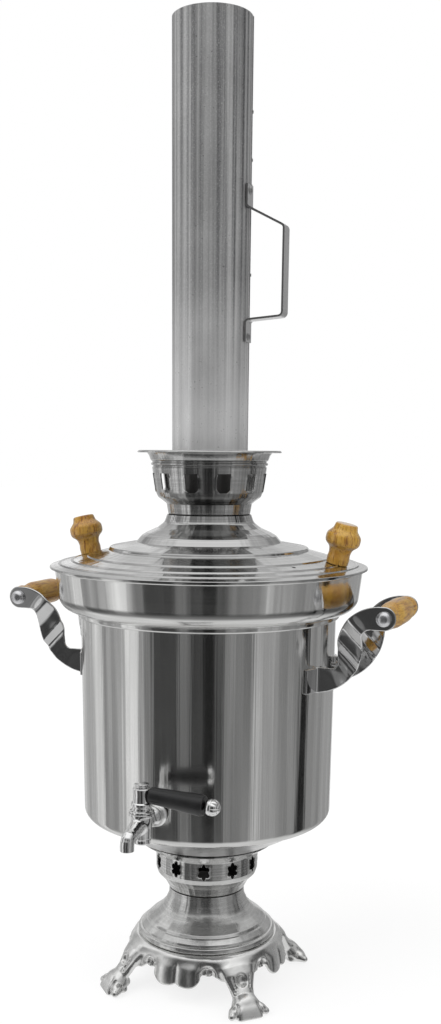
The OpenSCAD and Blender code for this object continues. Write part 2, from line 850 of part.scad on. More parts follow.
module handle_arm_left_front() color("#8d8f91") rotate(180) mirror([0, 1, 0]) bracket();

module handle_arm_left_rear() color("#8d8f91") rotate(180) bracket();

module grip_shape() {
    half = grip_len / 2 - bracket_t - seat_gap;
    end_r = grip_d / 2 - 1.2;
    translate([grip_x, 0, grip_z]) rotate([90, 0, 0]) difference() {
        turned([[0, -half], [end_r - 0.6, -half, 1], [end_r, 5 - half, 3], [end_r - 1, 12 - half, 6],
            [grip_d / 2, 22 - half, 20], [grip_d / 2, half - 22, 20], [end_r - 1, half - 12, 6],
            [end_r, half - 5, 3], [end_r - 0.6, half, 1], [0, half]]);
        cylinder(d = rod_d + 2 * run_gap, h = grip_len, center = true);
    }
}

module handle_grip_right() color("#c08a3e") grip_shape();

module handle_grip_left() color("#c08a3e") mirror([1, 0, 0]) grip_shape();

module rod_shape() {
    translate([grip_x, 0, grip_z]) rotate([90, 0, 0]) cylinder(d = rod_d, h = grip_len + 7, center = true);
}

module handle_rod_right() color("#8f9193") rod_shape();

module handle_rod_left() color("#8f9193") mirror([1, 0, 0]) rod_shape();

module cap_nut() {
    difference() {
        union() {
            cylinder(d = cap_nut_d, h = cap_nut_d / 2);
            translate([0, 0, cap_nut_d / 2]) sphere(d = cap_nut_d, $fn = 48);
        }
        translate([0, 0, -1]) cylinder(d = rod_d + 2 * run_gap, h = 5.2);
    }
}

module handle_cap_nuts() color("#d5d7d9") {
    for (side = [-1, 1], end = [-1, 1])
        translate([side * grip_x, end * (grip_len / 2 + seat_gap), grip_z])
            rotate([-end * 90, 0, 0]) cap_nut();
}

module handle_rivets() color("#b4b6b8") {
    top = bracket_t + 3 * seat_gap;
    at_rivets() rivet(rivet_d, rivet_head_d, rivet_rise, top, top + sheet_t + curve_gap);
}

// ---------- tap ----------

// Places children at the tap's inlet on the tank wall, with +Z pointing out along the shank
module at_inlet() {
    translate([0, 0, tap_inlet_z]) rotate([90, 0, 0]) children();
}

module tap_gasket() color("#6b2f22") {
    difference() {
        at_inlet() translate([0, 0, body_r + seat_gap])
            cylinder(d = rosette_d - 3, h = gasket_t - seat_gap);
        at_inlet() cylinder(d = shank_hole_d, h = body_r + 10);
    }
}

module tap_rosette() color("#d5d7d9") {
    start = body_r + gasket_t + seat_gap;
    at_inlet() translate([0, 0, start]) difference() {
        turned([[0, 0], [rosette_d / 2, 0, 0.5], [rosette_d / 2, 1.8, 0.8], [shank_d / 2 + 2.2, 3.4, 1.5],
            [shank_d / 2 + 1.4, rosette_t, 0.4], [0, rosette_t]]);
        translate([0, 0, -1]) cylinder(d = shank_hole_d, h = rosette_t + 2);
    }
}

// Centre line of the spout: out of the barrel, down its slope, round a bend to the mouth
spout_run = spout_reach - spout_bend_r * (1 - sin(spout_drop));

spout_fall = spout_run * tan(spout_drop) + spout_bend_r * cos(spout_drop);

module spout_solid(r, extra = 0) {
    overlap = 0.3;
    swell = 0.03;
    translate([0, plug_y, tap_inlet_z]) rotate([0, 0, -90]) {
        rotate([0, 90 + spout_drop, 0]) cylinder(r = r, h = spout_run / cos(spout_drop) + overlap);
        translate([spout_run - spout_bend_r * sin(spout_drop), 0, -spout_fall]) {
            rotate([90, 0, 0]) rotate_extrude(angle = 90 - spout_drop) translate([spout_bend_r, 0])
                circle(r + swell);
            translate([spout_bend_r, 0, spout_fall - spout_low - extra])
                cylinder(r = r, h = spout_low - spout_fall + overlap + extra);
        }
    }
}

module tap_body() color("#d5d7d9") {
    shank_in = body_r - 10;
    difference() {
        union() {
            at_inlet() translate([0, 0, shank_in]) cylinder(d = shank_d, h = -plug_y - shank_in);
            at_inlet() translate([0, 0, body_r + gasket_t + rosette_t + 2 * seat_gap])
                cylinder(d = shank_d + 2.4, h = 5);
            translate([0, plug_y, tap_inlet_z]) {
                translate([0, 0, barrel_low])
                    cylinder(d1 = barrel_low_d, d2 = barrel_high_d, h = barrel_high - barrel_low - 2);
                translate([0, 0, barrel_high - 2.4]) cylinder(d = collar_d, h = 2.4);
            }
            spout_solid(spout_r);
        }
        translate([0, plug_y, tap_inlet_z - 30]) cylinder(r = bore_r, h = 60);
        at_inlet() translate([0, 0, shank_in - 1]) cylinder(d = way_d, h = -plug_y - shank_in + 1);
        spout_solid(way_d / 2, 1);
    }
}

module tap_lock_nut() color("#8f9193") {
    nut_h = 4;
    face = sqrt(pow(body_in_r, 2) - pow(shank_d * 0.8, 2)) - seat_gap;
    at_inlet() translate([0, 0, face - nut_h]) difference() {
        cylinder(d = shank_d * 1.6, h = nut_h, $fn = 6);
        translate([0, 0, -1]) cylinder(d = shank_d + 2 * run_gap, h = nut_h + 2);
    }
}

// Places children on the plug's axis, at the height of the inlet
module at_plug() {
    translate([0, plug_y, tap_inlet_z]) children();
}

// Places children on the lever's axis, with +Z pointing along it
module at_lever() {
    at_plug() translate([0, 0, barrel_high + lever_z]) rotate([0, 90 + lever_droop, 0]) children();
}

module tap_plug() color("#cfd1d3") {
    at_plug() difference() {
        union() {
            translate([0, 0, barrel_low - bottom_nut_h - lift_gap])
                cylinder(r = plug_r, h = barrel_high - barrel_low + bottom_nut_h + 2 * lift_gap);
            translate([0, 0, barrel_high + lift_gap]) cylinder(d = collar_d - 1.2, h = 2.2);
            translate([0, 0, barrel_high + lift_gap]) cylinder(d = head_d, h = head_h);
        }
        rotate([0, 90, 0]) cylinder(d = way_d - 0.4, h = 3 * plug_d, center = true);
        translate([0, 0, barrel_high + head_h - cap_pin_h - seat_gap])
            cylinder(d = cap_pin_d + 2 * run_gap, h = 10);
        translate([0, 0, lever_z + barrel_high]) rotate([0, 90 + lever_droop, 0])
            cylinder(d = lever_rod_d + 2 * run_gap, h = head_d);
    }
}

module tap_plug_nut() color("#cfd1d3") {
    at_plug() translate([0, 0, barrel_low - bottom_nut_h - lift_gap]) difference() {
        cylinder(d = bottom_nut_d, h = bottom_nut_h);
        translate([0, 0, -1]) cylinder(r = plug_r + seat_gap, h = bottom_nut_h + 2);
    }
}

module tap_lever_rod() color("#cfd1d3") {
    at_lever() translate([0, 0, 1]) cylinder(d = lever_rod_d, h = lever_len - 1);
}

module tap_lever_grip() color("#1d1d1e") {
    start = head_d / 2 + 0.6;
    stop = lever_len - ball_d / 2 + 0.4;
    at_lever() difference() {
        turned([[0, start], [grip_small_d / 2, start, 0.8], [grip_large_d / 2, stop - 3, 4],
            [grip_large_d / 2 - 0.8, stop, 1], [0, stop]]);
        cylinder(d = lever_rod_d + 2 * run_gap, h = 2 * lever_len);
        translate([0, 0, lever_len]) sphere(d = ball_d + 2 * seat_gap, $fn = 64);
    }
}

module tap_lever_ball() color("#d5d7d9") {
    at_lever() difference() {
        translate([0, 0, lever_len]) sphere(d = ball_d, $fn = 64);
        cylinder(d = lever_rod_d + 2 * run_gap, h = lever_len + 0.2);
    }
}

module tap_top_cap() color("#d5d7d9") {
    at_plug() translate([0, 0, barrel_high + head_h + 2 * lift_gap]) {
        turned([[0, 0], [cap_d / 2, 0, 0.5], [cap_d / 2, 1.2, 0.5], [cap_d / 4, cap_h - 0.8, 2],
            [cap_d / 5, cap_h, 0.6], [0, cap_h]]);
        translate([0, 0, -cap_pin_h]) cylinder(d = cap_pin_d, h = cap_pin_h + 0.2);
    }
}

foot_base();
base_screws();
base_nuts();
pedestal();
vent_collar();
grate();
lower_dome();
body_shell();
upper_bowl();
fire_tube();
lid();
lid_knob_left();
lid_knob_right();
lid_knob_screws();
crown();
chimney_pipe();
chimney_handle();
chimney_rivets();
handle_arm_right_front();
handle_arm_right_rear();
handle_arm_left_front();
handle_arm_left_rear();
handle_grip_right();
handle_grip_left();
handle_rod_right();
handle_rod_left();
handle_cap_nuts();
handle_rivets();
tap_gasket();
tap_rosette();
tap_body();
tap_lock_nut();
tap_plug();
tap_plug_nut();
tap_lever_rod();
tap_lever_grip();
tap_lever_ball();
tap_top_cap();
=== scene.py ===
import json
from math import acos, atan2, ceil, copysign, cos, degrees, hypot, pi, prod, radians, sin, sqrt, tan, tau

import bmesh
import bpy
import numpy as np
from mathutils import Matrix, Vector


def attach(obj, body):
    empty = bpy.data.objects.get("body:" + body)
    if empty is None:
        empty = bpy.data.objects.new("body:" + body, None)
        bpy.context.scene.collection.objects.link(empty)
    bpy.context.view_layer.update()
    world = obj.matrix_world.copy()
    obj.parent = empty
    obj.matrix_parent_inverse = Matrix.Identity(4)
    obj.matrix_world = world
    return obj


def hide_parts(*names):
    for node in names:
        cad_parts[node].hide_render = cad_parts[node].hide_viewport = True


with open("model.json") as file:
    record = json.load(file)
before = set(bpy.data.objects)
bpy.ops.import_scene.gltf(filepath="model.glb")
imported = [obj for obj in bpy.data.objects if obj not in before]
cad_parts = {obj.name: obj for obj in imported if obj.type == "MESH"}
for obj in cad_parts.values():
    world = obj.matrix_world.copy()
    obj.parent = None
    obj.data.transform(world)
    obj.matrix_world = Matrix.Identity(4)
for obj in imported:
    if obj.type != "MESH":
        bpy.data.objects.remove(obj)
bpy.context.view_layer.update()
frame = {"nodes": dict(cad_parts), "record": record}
CAD = frame["nodes"]
scene = bpy.context.scene

# Outlines, fields and places are in millimetres, in the frame: +Z up along the tank's axis from
# the floor, the spout towards -Y and the closed lever towards +X. Meshes and shaders are in metres.
MM = 0.001
TINY = 1e-9
WELD = 2e-6  # metres within which a built mesh's vertices are joined
SHARP_EDGE = radians(32)  # a built mesh's edges over this angle stay crisp


# ---- outlines and meshes

def unit(v):
    return v / np.linalg.norm(v)


def ridge(x, at, width):
    """1 where x is at, falling to 0 over about twice the width on both sides."""
    return np.exp(-((x - at) / width) ** 2)


def shift(x, y, z):
    return Matrix.Translation((x * MM, y * MM, z * MM))


def rounded(points, step=6):
    """Outline through points (x, y, r), where r rounds that corner and may be left out.

    step is the most degrees that a round turns between two of its points."""
    out = []
    for i, point in enumerate(points):
        if len(point) < 3:
            out.append(point)
            continue
        before, corner, after = (np.array(points[j][:2], float) for j in (i - 1, i, i + 1))
        radius = point[2]
        u, v = unit(before - corner), unit(after - corner)
        half = acos(max(-1, min(1, float(u @ v)))) / 2
        centre = corner + unit(u + v) * radius / sin(half)
        touch = corner + u * radius / tan(half) - centre
        turn = copysign(1, u[0] * v[1] - u[1] * v[0]) * (2 * half - pi)
        start = atan2(touch[1], touch[0])
        n = max(2, ceil(degrees(abs(turn)) / step))
        for k in range(n + 1):
            a = start + turn * k / n
            out.append((centre[0] + radius * cos(a), centre[1] + radius * sin(a)))
    return out


def sheet(points, t):
    """Closed outline of a sheet of thickness t on the left of an outline."""
    p = [np.array(q, float) for q in points]
    ways = [unit(b - a) for a, b in zip(p, p[1:])]
    lefts = [np.array([-way[1], way[0]]) for way in ways]
    inner = []
    for q, a, b in zip(p, lefts[:1] + lefts, lefts + lefts[-1:]):
        middle = unit(a + b)
        inner.append(q + middle * t / float(middle @ a))
    return [tuple(q) for q in p + inner[::-1]]


def link_object(name, data):
    ob = bpy.data.objects.new(name, data)
    scene.collection.objects.link(ob)
    return ob


def shade(me, sharp=SHARP_EDGE):
    """Smooth shading, with edges over the angle sharp kept crisp unless it is 0."""
    me.polygons.foreach_set("use_smooth", [True] * len(me.polygons))
    if sharp:
        me.set_sharp_from_angle(angle=sharp)


def mesh_object(name, verts, faces, sharp=SHARP_EDGE):
    """A welded mesh from vertices in metres, with its faces turned outwards."""
    me = bpy.data.meshes.new(name)
    me.from_pydata([tuple(v) for v in verts], [], faces)
    bm = bmesh.new()
    bm.from_mesh(me)
    bmesh.ops.remove_doubles(bm, verts=bm.verts, dist=WELD)
    bmesh.ops.recalc_face_normals(bm, faces=bm.faces)
    bm.to_mesh(me)
    bm.free()
    shade(me, sharp)
    return link_object(name, me)


def lathe(name, outline, segs=256, closed=True, place=None):
    """An outline [(r, z)] spun round +Z, then moved by the matrix place if there is one."""
    n = len(outline)
    r, z = np.array(outline, float).T * MM
    turn = (np.arange(segs) * tau / segs)[:, None]
    verts = np.stack([np.cos(turn) * r, np.sin(turn) * r, 0 * turn + z], 2).reshape(-1, 3)
    faces = []
    for here in range(segs):
        there = (here + 1) % segs
        for i in range(n if closed else n - 1):
            j = (i + 1) % n
            faces.append((here * n + i, there * n + i, there * n + j, here * n + j))
    if place is not None:
        m = np.array(place)
        verts = verts @ m[:3, :3].T + m[:3, 3]
    return mesh_object(name, verts, faces)


def star_reach(points, angles):
    """How far a star-shaped closed outline reaches from the origin, at angles from +y towards +x."""
    out = []
    for a in angles:
        d = (sin(a), cos(a))
        best = 0
        for u, v in zip(points[-1:] + points[:-1], points):
            e = (v[0] - u[0], v[1] - u[1])
            cross = d[0] * e[1] - d[1] * e[0]
            if abs(cross) < TINY:
                continue
            reach = (u[0] * e[1] - u[1] * e[0]) / cross
            along = (u[0] * d[1] - u[1] * d[0]) / cross
            if -TINY <= along <= 1 + TINY:
                best = max(best, reach)
        out.append(best)
    return out


def holed_ring(name, below, above, t, count, first, hole, lip=0.4):
    """A spun sheet of thickness t whose straight wall, between two outlines, has a row of holes.

    The hole is a star-shaped outline [(across, up)] round the middle of the wall. There are
    count of them from first degrees on, and the sheet stands out by lip at each hole's edge."""
    spokes, rings = 40, 7  # vertices round a hole, and from its edge to its panel's
    crowding, lip_share = 1.8, 0.12  # the rings crowd at the hole; how far the lip spreads
    digits, near = 6, 1e-5  # angles are kept to so many digits and compared within this
    (r0, z0), (r1, z1) = below[-1], above[0]
    half, wide = (z1 - z0) / 2, pi * (r0 + r1) / 2 / count
    length = hypot(r1 - r0, z1 - z0)
    inward = (-(z1 - z0) / length * t, (r1 - r0) / length * t)
    corner = atan2(wide, half)
    angles = [tau * k / spokes for k in range(spokes)]
    angles += [corner, pi - corner, pi + corner, tau - corner]
    angles += [atan2(x, y) % tau for x, y in hole]
    angles = sorted({round(a, digits) for a in angles})
    edge = star_reach(hole, angles)
    panel = star_reach([(-wide, -half), (wide, -half), (wide, half), (-wide, half)], angles)
    n = len(angles)
    verts, faces = [], []

    def add_vertex(r, turn, z):
        verts.append((r * cos(turn) * MM, r * sin(turn) * MM, z * MM))

    for k in range(count):
        middle = radians(first) + tau * k / count
        for inner in (0, 1):
            for j in range(rings):
                f = (j / (rings - 1)) ** crowding
                raised = lip * ridge(f, 0, lip_share) if j < rings - 1 else 0
                for i, a in enumerate(angles):
                    d = edge[i] + (panel[i] - edge[i]) * f
                    across, up = d * sin(a), d * cos(a)
                    q = (up + half) / (2 * half)
                    add_vertex(r0 + (r1 - r0) * q + inner * inward[0] + raised,
                               middle + across / wide * pi / count,
                               z0 + (z1 - z0) * q + inner * inward[1])
        outer = k * 2 * rings * n
        inner = outer + rings * n
        for i in range(n):
            i2 = (i + 1) % n
            for j in range(rings - 1):
                a, b = outer + j * n, outer + (j + 1) * n
                faces.append((a + i, a + i2, b + i2, b + i))
                a, b = inner + j * n, inner + (j + 1) * n
                faces.append((a + i, b + i, b + i2, a + i2))
            faces.append((outer + i, inner + i, inner + i2, outer + i2))
    # the two spun parts, with a column of vertices wherever a panel has one on its border
    top = [a for a in angles if a <= corner + near or a >= tau - corner - near]
    low = [a for a in angles if pi - corner - near <= a <= pi + corner + near]
    for outline, border, sign in ((below, low, -1), (above, top, 1)):
        shares = sorted({round(half * tan(a) / wide * sign, digits) for a in border})[:-1]
        turns = [radians(first) + (2 * k + s) * pi / count for k in range(count) for s in shares]
        loop = sheet(outline, t)
        m, start = len(loop), len(verts)
        open_side = len(outline) - 1 if sign < 0 else m - 1
        for turn in turns:
            for r, z in loop:
                add_vertex(r, turn, z)
        for k in range(len(turns)):
            here, there = start + k * m, start + (k + 1) % len(turns) * m
            faces += [(here + i, there + i, there + (i + 1) % m, here + (i + 1) % m)
                      for i in range(m) if i != open_side]
    return mesh_object(name, verts, faces)


# ---- distance fields

FAR = 1e3


def mix(a, b, k):
    """Smooth union of two distance fields."""
    h = np.clip(0.5 + 0.5 * (b - a) / k, 0, 1)
    return b + (a - b) * h - k * h * (1 - h)


def carve(a, b, k):
    """Field a with b taken out of it, softly."""
    return -mix(-a, b, k)


def meet(*fields):
    """What lies inside every one of the fields."""
    return np.maximum.reduce(fields)


def rounded_meet(r, *fields):
    """What lies inside every one of the fields, with its edges rounded by r."""
    fields = [field + r for field in fields]
    outside = np.sqrt(sum(np.maximum(field, 0) ** 2 for field in fields))
    return outside + np.minimum(meet(*fields), 0) - r


def capsule(p, a, b, ra, rb):
    """Distance to a rod from a to b whose radius goes from ra to rb."""
    a, b = np.array(a, float), np.array(b, float)
    ab = b - a
    w = [p[i] - a[i] for i in range(3)]
    t = np.clip(sum(w[i] * ab[i] for i in range(3)) / float(ab @ ab), 0, 1)
    return np.sqrt(sum((w[i] - t * ab[i]) ** 2 for i in range(3))) - (ra + (rb - ra) * t)


def ball(p, c, r):
    """Distance, roughly, to an ellipsoid with radii r."""
    q = [(p[i] - c[i]) / r[i] for i in range(3)]
    return (np.sqrt(sum(part ** 2 for part in q)) - 1) * min(r)


def ease(x, a, b):
    """0 below a and 1 above b, with a soft way between."""
    t = np.clip((x - a) / (b - a), 0, 1)
    return t * t * (3 - 2 * t)


def grid(h, *ranges):
    """Sample points h apart over three ranges, and the first of them."""
    axes = [np.arange(low, high, h) for low, high in ranges]
    return np.meshgrid(*axes, indexing="ij"), np.array([axis[0] for axis in axes])


def skin(field, origin, h):
    """Surface of a sampled field: one vertex per crossed cell, at the mean of its edge crossings."""
    cells = tuple(n - 1 for n in field.shape)
    total = prod(cells)
    crossings, count = np.zeros((total, 3)), np.zeros(total)
    quads = []
    for axis in range(3):
        where = np.argwhere(np.diff(field < 0, axis=axis))
        value_a = field[tuple(where.T)]
        value_b = field[tuple((where + np.eye(3, dtype=int)[axis]).T)]
        place = where.astype(float)
        place[:, axis] += value_a / (value_a - value_b)
        corners = []
        for d1, d2 in ((0, 0), (-1, 0), (-1, -1), (0, -1)):
            corner = where.copy()
            corner[:, (axis + 1) % 3] += d1
            corner[:, (axis + 2) % 3] += d2
            corners.append(corner)
        fits = np.all([(corner >= 0) & (corner < cells) for corner in corners], (0, 2))
        quad = np.stack([np.ravel_multi_index(tuple(corner[fits].T), cells) for corner in corners], 1)
        for cell in quad.T:
            for k in range(3):
                crossings[:, k] += np.bincount(cell, place[fits, k], total)
            count += np.bincount(cell, minlength=total)
        flip = value_a[fits] > 0
        quad[flip] = quad[flip][:, ::-1]
        quads.append(quad)
    used = np.flatnonzero(count)
    index = np.full(total, -1)
    index[used] = np.arange(len(used))
    return crossings[used] / count[used, None] * h + origin, index[np.concatenate(quads)]


def neighbour_mean(faces, n):
    """Gives a function for the mean of each vertex's neighbours, on a skin with n vertices."""
    a, b = faces.T.ravel(), np.roll(faces, -1, 1).T.ravel()
    neighbours = np.bincount(a, minlength=n) + np.bincount(b, minlength=n)

    def mean(values):
        total = [np.bincount(a, values[b, k], n) + np.bincount(b, values[a, k], n) for k in range(3)]
        return np.stack(total, 1) / neighbours[:, None]

    return mean


def relax(verts, faces, rounds, keep=None):
    """Evens out a skin by turns of moving towards the neighbours and, so it doesn't shrink, away."""
    towards, away = 0.55, -0.57
    mean = neighbour_mean(faces, len(verts))
    for k in range(rounds):
        step = (mean(verts) - verts) * (away if k % 2 else towards)
        if keep is not None:
            step[keep] = 0
        verts = verts + step
    return verts


def hollows(verts, faces, rounds=4, depth=0.5):
    """0 on open surface and up to 1 in creases that lie depth mm below what is around them."""
    a, b, c, d = (verts[faces[:, k]] for k in range(4))
    face_normals = np.cross(c - a, d - b)
    normals = np.zeros_like(verts)
    for k in range(4):
        for j in range(3):
            normals[:, j] += np.bincount(faces[:, k], face_normals[:, j], len(verts))
    normals /= np.linalg.norm(normals, axis=1)[:, None] + TINY
    mean, wide = neighbour_mean(faces, len(verts)), verts
    for _ in range(rounds):
        wide = mean(wide)
    return np.clip(((wide - verts) * normals).sum(1) / depth, 0, 1)


def skin_object(name, verts, faces, hollow=None):
    """A mesh of quads, with a "hollow" attribute for its material's painted crease shade where hollow is
    given.
    """
    me = bpy.data.meshes.new(name)
    me.vertices.add(len(verts))
    me.vertices.foreach_set("co", (verts * MM).astype(np.float32).ravel())
    me.loops.add(len(faces) * 4)
    me.loops.foreach_set("vertex_index", faces.astype(np.int32).ravel())
    me.polygons.add(len(faces))
    me.polygons.foreach_set("loop_start", np.arange(0, len(faces) * 4, 4, dtype=np.int32))
    me.update(calc_edges=True)
    me.validate()
    shade(me, 0)
    if hollow is not None:
        me.attributes.new("hollow", "FLOAT", "POINT").data.foreach_set("value", hollow.astype(np.float32))
    return link_object(name, me)


# ---- shader graphs

def rgba(colour):
    """The four parts of a colour that is a grey level or has three parts."""
    return (*(colour if isinstance(colour, tuple) else (colour,) * 3), 1)


class Graph:
    """A node tree that is written as nested calls; each value is a number, a colour or a socket."""

    def __init__(self, tree):
        self.tree = tree
        tree.nodes.clear()

    def add(self, kind, inputs=None, **props):
        node = self.tree.nodes.new("ShaderNode" + kind)
        for key, value in props.items():
            setattr(node, key, value)
        for key, value in (inputs or {}).items():
            self.put(node.inputs[key], value)
        return node

    def put(self, socket, value):
        if isinstance(value, bpy.types.NodeSocket):
            self.tree.links.new(value, socket)
        else:
            socket.default_value = rgba(value) if socket.type == "RGBA" else value

    def math(self, op, a, b=None):
        inputs = {0: a} if b is None else {0: a, 1: b}
        return self.add("Math", inputs, operation=op).outputs[0]

    def times(self, a, b):
        return self.math("MULTIPLY", a, b)

    def vec(self, x, y, z):
        return self.add("CombineXYZ", {0: x, 1: y, 2: z}).outputs[0]

    def scaled(self, values, factors):
        """A vector of three values, each times its own factor."""
        return self.vec(*[self.times(a, b) for a, b in zip(values, factors)])

    def noise(self, vector, scale, detail=2, rough=0.5, distortion=0):
        """Soft noise whose size is about 1 / scale of the vector's unit."""
        return self.add("TexNoise", {"Vector": vector, "Scale": scale, "Detail": detail,
                        "Roughness": rough, "Distortion": distortion}).outputs["Fac"]

    def ramp(self, value, stops):
        """A colour between the stops (position, grey level or colour) around the value."""
        node = self.add("ValToRGB", {"Fac": value})
        elements = node.color_ramp.elements
        while len(elements) > 1:
            elements.remove(elements[-1])
        for i, (position, colour) in enumerate(stops):
            element = elements[0] if i == 0 else elements.new(position)
            element.position, element.color = position, rgba(colour)
        return node.outputs["Color"]

    def span(self, value, a, b, low, high, smooth=False):
        """Takes the value from the range a to b into the range low to high."""
        node = self.add("MapRange", {0: value, 1: a, 2: b, 3: low, 4: high})
        node.interpolation_type = "SMOOTHSTEP" if smooth else "LINEAR"
        return node.outputs[0]

    def blend(self, share, a, b, kind="MIX"):
        """Colour a with a share of colour b."""
        sockets = {0: share, 6: a, 7: b}
        return self.add("Mix", sockets, data_type="RGBA", blend_type=kind).outputs[2]

    def bump(self, height, depth, normal=None):
        """Relief as deep as depth in mm, on top of another relief if normal is given."""
        inputs = {"Height": height, "Strength": 1, "Distance": depth * MM}
        if normal is not None:
            inputs["Normal"] = normal
        return self.add("Bump", inputs).outputs[0]


class Surface(Graph):
    """A material's graph, with its main shader and the object's own coordinates in metres."""

    def __init__(self, name):
        self.mat = bpy.data.materials.new(name)
        self.mat.use_nodes = True
        super().__init__(self.mat.node_tree)
        self.shader = self.add("BsdfPrincipled")
        self.add("OutputMaterial", {0: self.shader.outputs[0]})
        self.place = self.add("TexCoord").outputs["Object"]

    def polar(self):
        """Radius, height and a unit direction round the Z axis."""
        x, y, z = self.add("SeparateXYZ", {0: self.place}).outputs
        r = self.math("SQRT", self.math("ADD", self.times(x, x), self.times(y, y)))
        return r, z, self.math("DIVIDE", x, r), self.math("DIVIDE", y, r)

    def finish(self, colour, rough, relief, metal=0, more=None):
        looks = {"Base Color": colour, "Metallic": metal, "Roughness": rough, "Normal": relief}
        for socket, value in (looks | (more or {})).items():
            self.put(self.shader.inputs[socket], value)
        return self.mat


def srgb(*c):
    """A linear colour from 0 to 255 levels as a screen shows them."""
    return tuple(((x / 255 + 0.055) / 1.055) ** 2.4 if x > 10 else x / 255 / 12.92 for x in c)


def dim(colour, level):
    return tuple(part * level for part in colour)


# ---- materials
# Scales of noise are per metre.

def sheet_metal(name, tint, rough, upright=0, rings=0, aniso=0, wave=1, stain=0.06, lines=0,
                dents=0, painted_reflection_at=None):
    """Polished sheet with soft waves, upright streaks, turning rings, shallow dents and smears.

    wave, upright, rings and dents scale the relief, stain and lines how much smears and rings
    darken it, and the last argument is the height in mm of one dark ring, a painted reflection."""
    g = Surface(name)
    r, z, cx, cy = g.polar()
    low = g.noise(g.scaled((cx, cy, z), (7, 7, 3)), 1, 2, 0.45)
    streak = g.noise(g.scaled((cx, cy, z), (34, 34, 2.5)), 1, 3, 0.55)
    ring = g.noise(g.vec(g.times(r, 900), g.times(z, 900), 0), 1, 3, 0.6)
    smear = g.noise(g.place, 34, 4, 0.6)
    relief = g.bump(low, 0.3 * wave)
    relief = g.bump(streak, 0.09 * upright, relief)
    if dents:
        relief = g.bump(g.noise(g.place, 45), 1 * dents, relief)
    if rings:
        relief = g.bump(ring, 0.012 * rings, relief)
    colour = g.blend(g.span(smear, 0.35, 0.75, 0, stain * 2), tint, dim(tint, 0.82))
    if lines:
        colour = g.blend(g.span(ring, 0.35, 0.65, 0, lines), colour, dim(tint, 0.45))
    # painted reflection: one dark ring round the given height, darkest at it
    if painted_reflection_at:
        away = g.math("ABSOLUTE", g.math("SUBTRACT", z, painted_reflection_at * MM))
        colour = g.blend(g.span(away, 0.6 * MM, 3.2 * MM, 0.8, 0, True), colour, dim(tint, 0.12))
    dull = g.math("ADD", g.span(smear, 0.3, 0.8, rough - 0.02, rough + 0.05),
                  g.span(streak if upright else ring, 0.3, 0.7, -0.012, 0.02))
    brushed = {}
    if aniso:
        tangent = g.add("Tangent", direction_type="RADIAL", axis="Z").outputs[0]
        brushed = {"Anisotropic": aniso, "Anisotropic Rotation": 0.25, "Tangent": tangent}
    return g.finish(colour, dull, relief, 1, brushed)


def cast_metal(name, tint, rough, grain=1):
    """Cast and tumbled metal: soft dents, fine grain, and hollows darkened as painted shade."""
    g = Surface(name)
    dents = g.noise(g.place, 90, 2, 0.45, 0.2)
    fine = g.noise(g.place, 700, 3, 0.6)
    hollow = g.add("Attribute", attribute_name="hollow").outputs["Fac"]
    colour = g.blend(g.span(dents, 0.3, 0.7, 0, 0.3), tint, dim(tint, 0.85))
    # painted shade: darker in creases, by how deep the hollow attribute says they lie
    colour = g.blend(g.span(hollow, 0.05, 1, 0, 0.8), colour, dim(tint, 0.22))
    dull = g.math("ADD", g.span(dents, 0.3, 0.75, rough - 0.05, rough + 0.06),
                  g.times(hollow, 0.2))
    relief = g.bump(fine, 0.022 * grain, g.bump(dents, 0.6 * grain))
    return g.finish(colour, dull, relief, 1)


def galvanised(name, painted_shade_z=(451.5, 447), painted_light_z=(580, 470)):
    """Zinc-coated sheet: upright roller streaks, fine spangle and a bloom that dulls some of it.

    It pales over one range of heights as painted light, and darkens to near black below another, where it
    sits in the crown, as painted shade."""
    g = Surface(name)
    r, z, cx, cy = g.polar()
    streaks = g.noise(g.scaled((cx, cy, z), (6, 6, 1.2)), 1, 3, 0.6)
    grain = g.noise(g.place, 1300, 3, 0.7)
    mottle = g.noise(g.place, 420, 3, 0.6)
    cloud = g.noise(g.place, 24, 3, 0.55)
    dark, light, bloom, spangle = (0.11, 0.11, 0.115), 0.53, 0.32, 0.9
    pale, painted_shade_grey = 0.86, (0.03, 0.028, 0.026)
    colour = g.blend(g.span(streaks, 0.39, 0.61, 0, 1), dark, light)
    colour = g.blend(g.span(mottle, 0.32, 0.7, 0, 0.3), colour, bloom)
    colour = g.blend(g.span(grain, 0.52, 0.72, 0, 0.45), colour, spangle)
    # painted light: paler towards the chimney's foot; painted shade: near black where it sits in the crown
    colour = g.blend(g.span(z, painted_light_z[0] * MM, painted_light_z[1] * MM, 0, 0.75), colour, pale)
    colour = g.blend(g.span(z, painted_shade_z[0] * MM, painted_shade_z[1] * MM, 0, 0.93), colour, painted_shade_grey)
    relief = g.bump(mottle, 0.03, g.bump(streaks, 0.3))
    return g.finish(colour, metal=g.span(cloud, 0.3, 0.7, 0.42, 0.62),
                    rough=g.span(mottle, 0.3, 0.75, 0.27, 0.4), relief=g.bump(grain, 0.03, relief))


def wood(name, axis, stain, coat):
    """Honey-coloured turned wood under a clear varnish; the grain runs along axis."""
    g = Surface(name)
    across_grain, along_grain, deep = 260, 26, 0.4
    place = g.add("SeparateXYZ", {0: g.place}).outputs
    v = g.scaled(place, [along_grain if i == axis else across_grain for i in range(3)])
    grain = g.noise(v, 1, 4, 0.6, 1.2)
    pores = g.noise(v, 5)
    patch = g.noise(g.place, 55, 3)
    colour = g.ramp(grain, [(0.34, srgb(138, 92, 28)), (0.46, srgb(204, 158, 60)),
                            (0.6, srgb(226, 184, 88)), (0.72, srgb(178, 128, 46))])
    colour = g.blend(g.span(patch, 0.35, 0.7, 0, 0.5), colour, srgb(176, 112, 40))
    colour = g.blend(g.span(pores, 0.56, 0.7, 0, 0.7), colour, srgb(98, 58, 18))
    colour = g.blend(deep, colour, srgb(*stain), "MULTIPLY")
    return g.finish(colour, g.span(grain, 0.2, 0.8, 0.34, 0.46), g.bump(grain, 0.06),
                    more={"Coat Weight": coat, "Coat Roughness": 0.1})


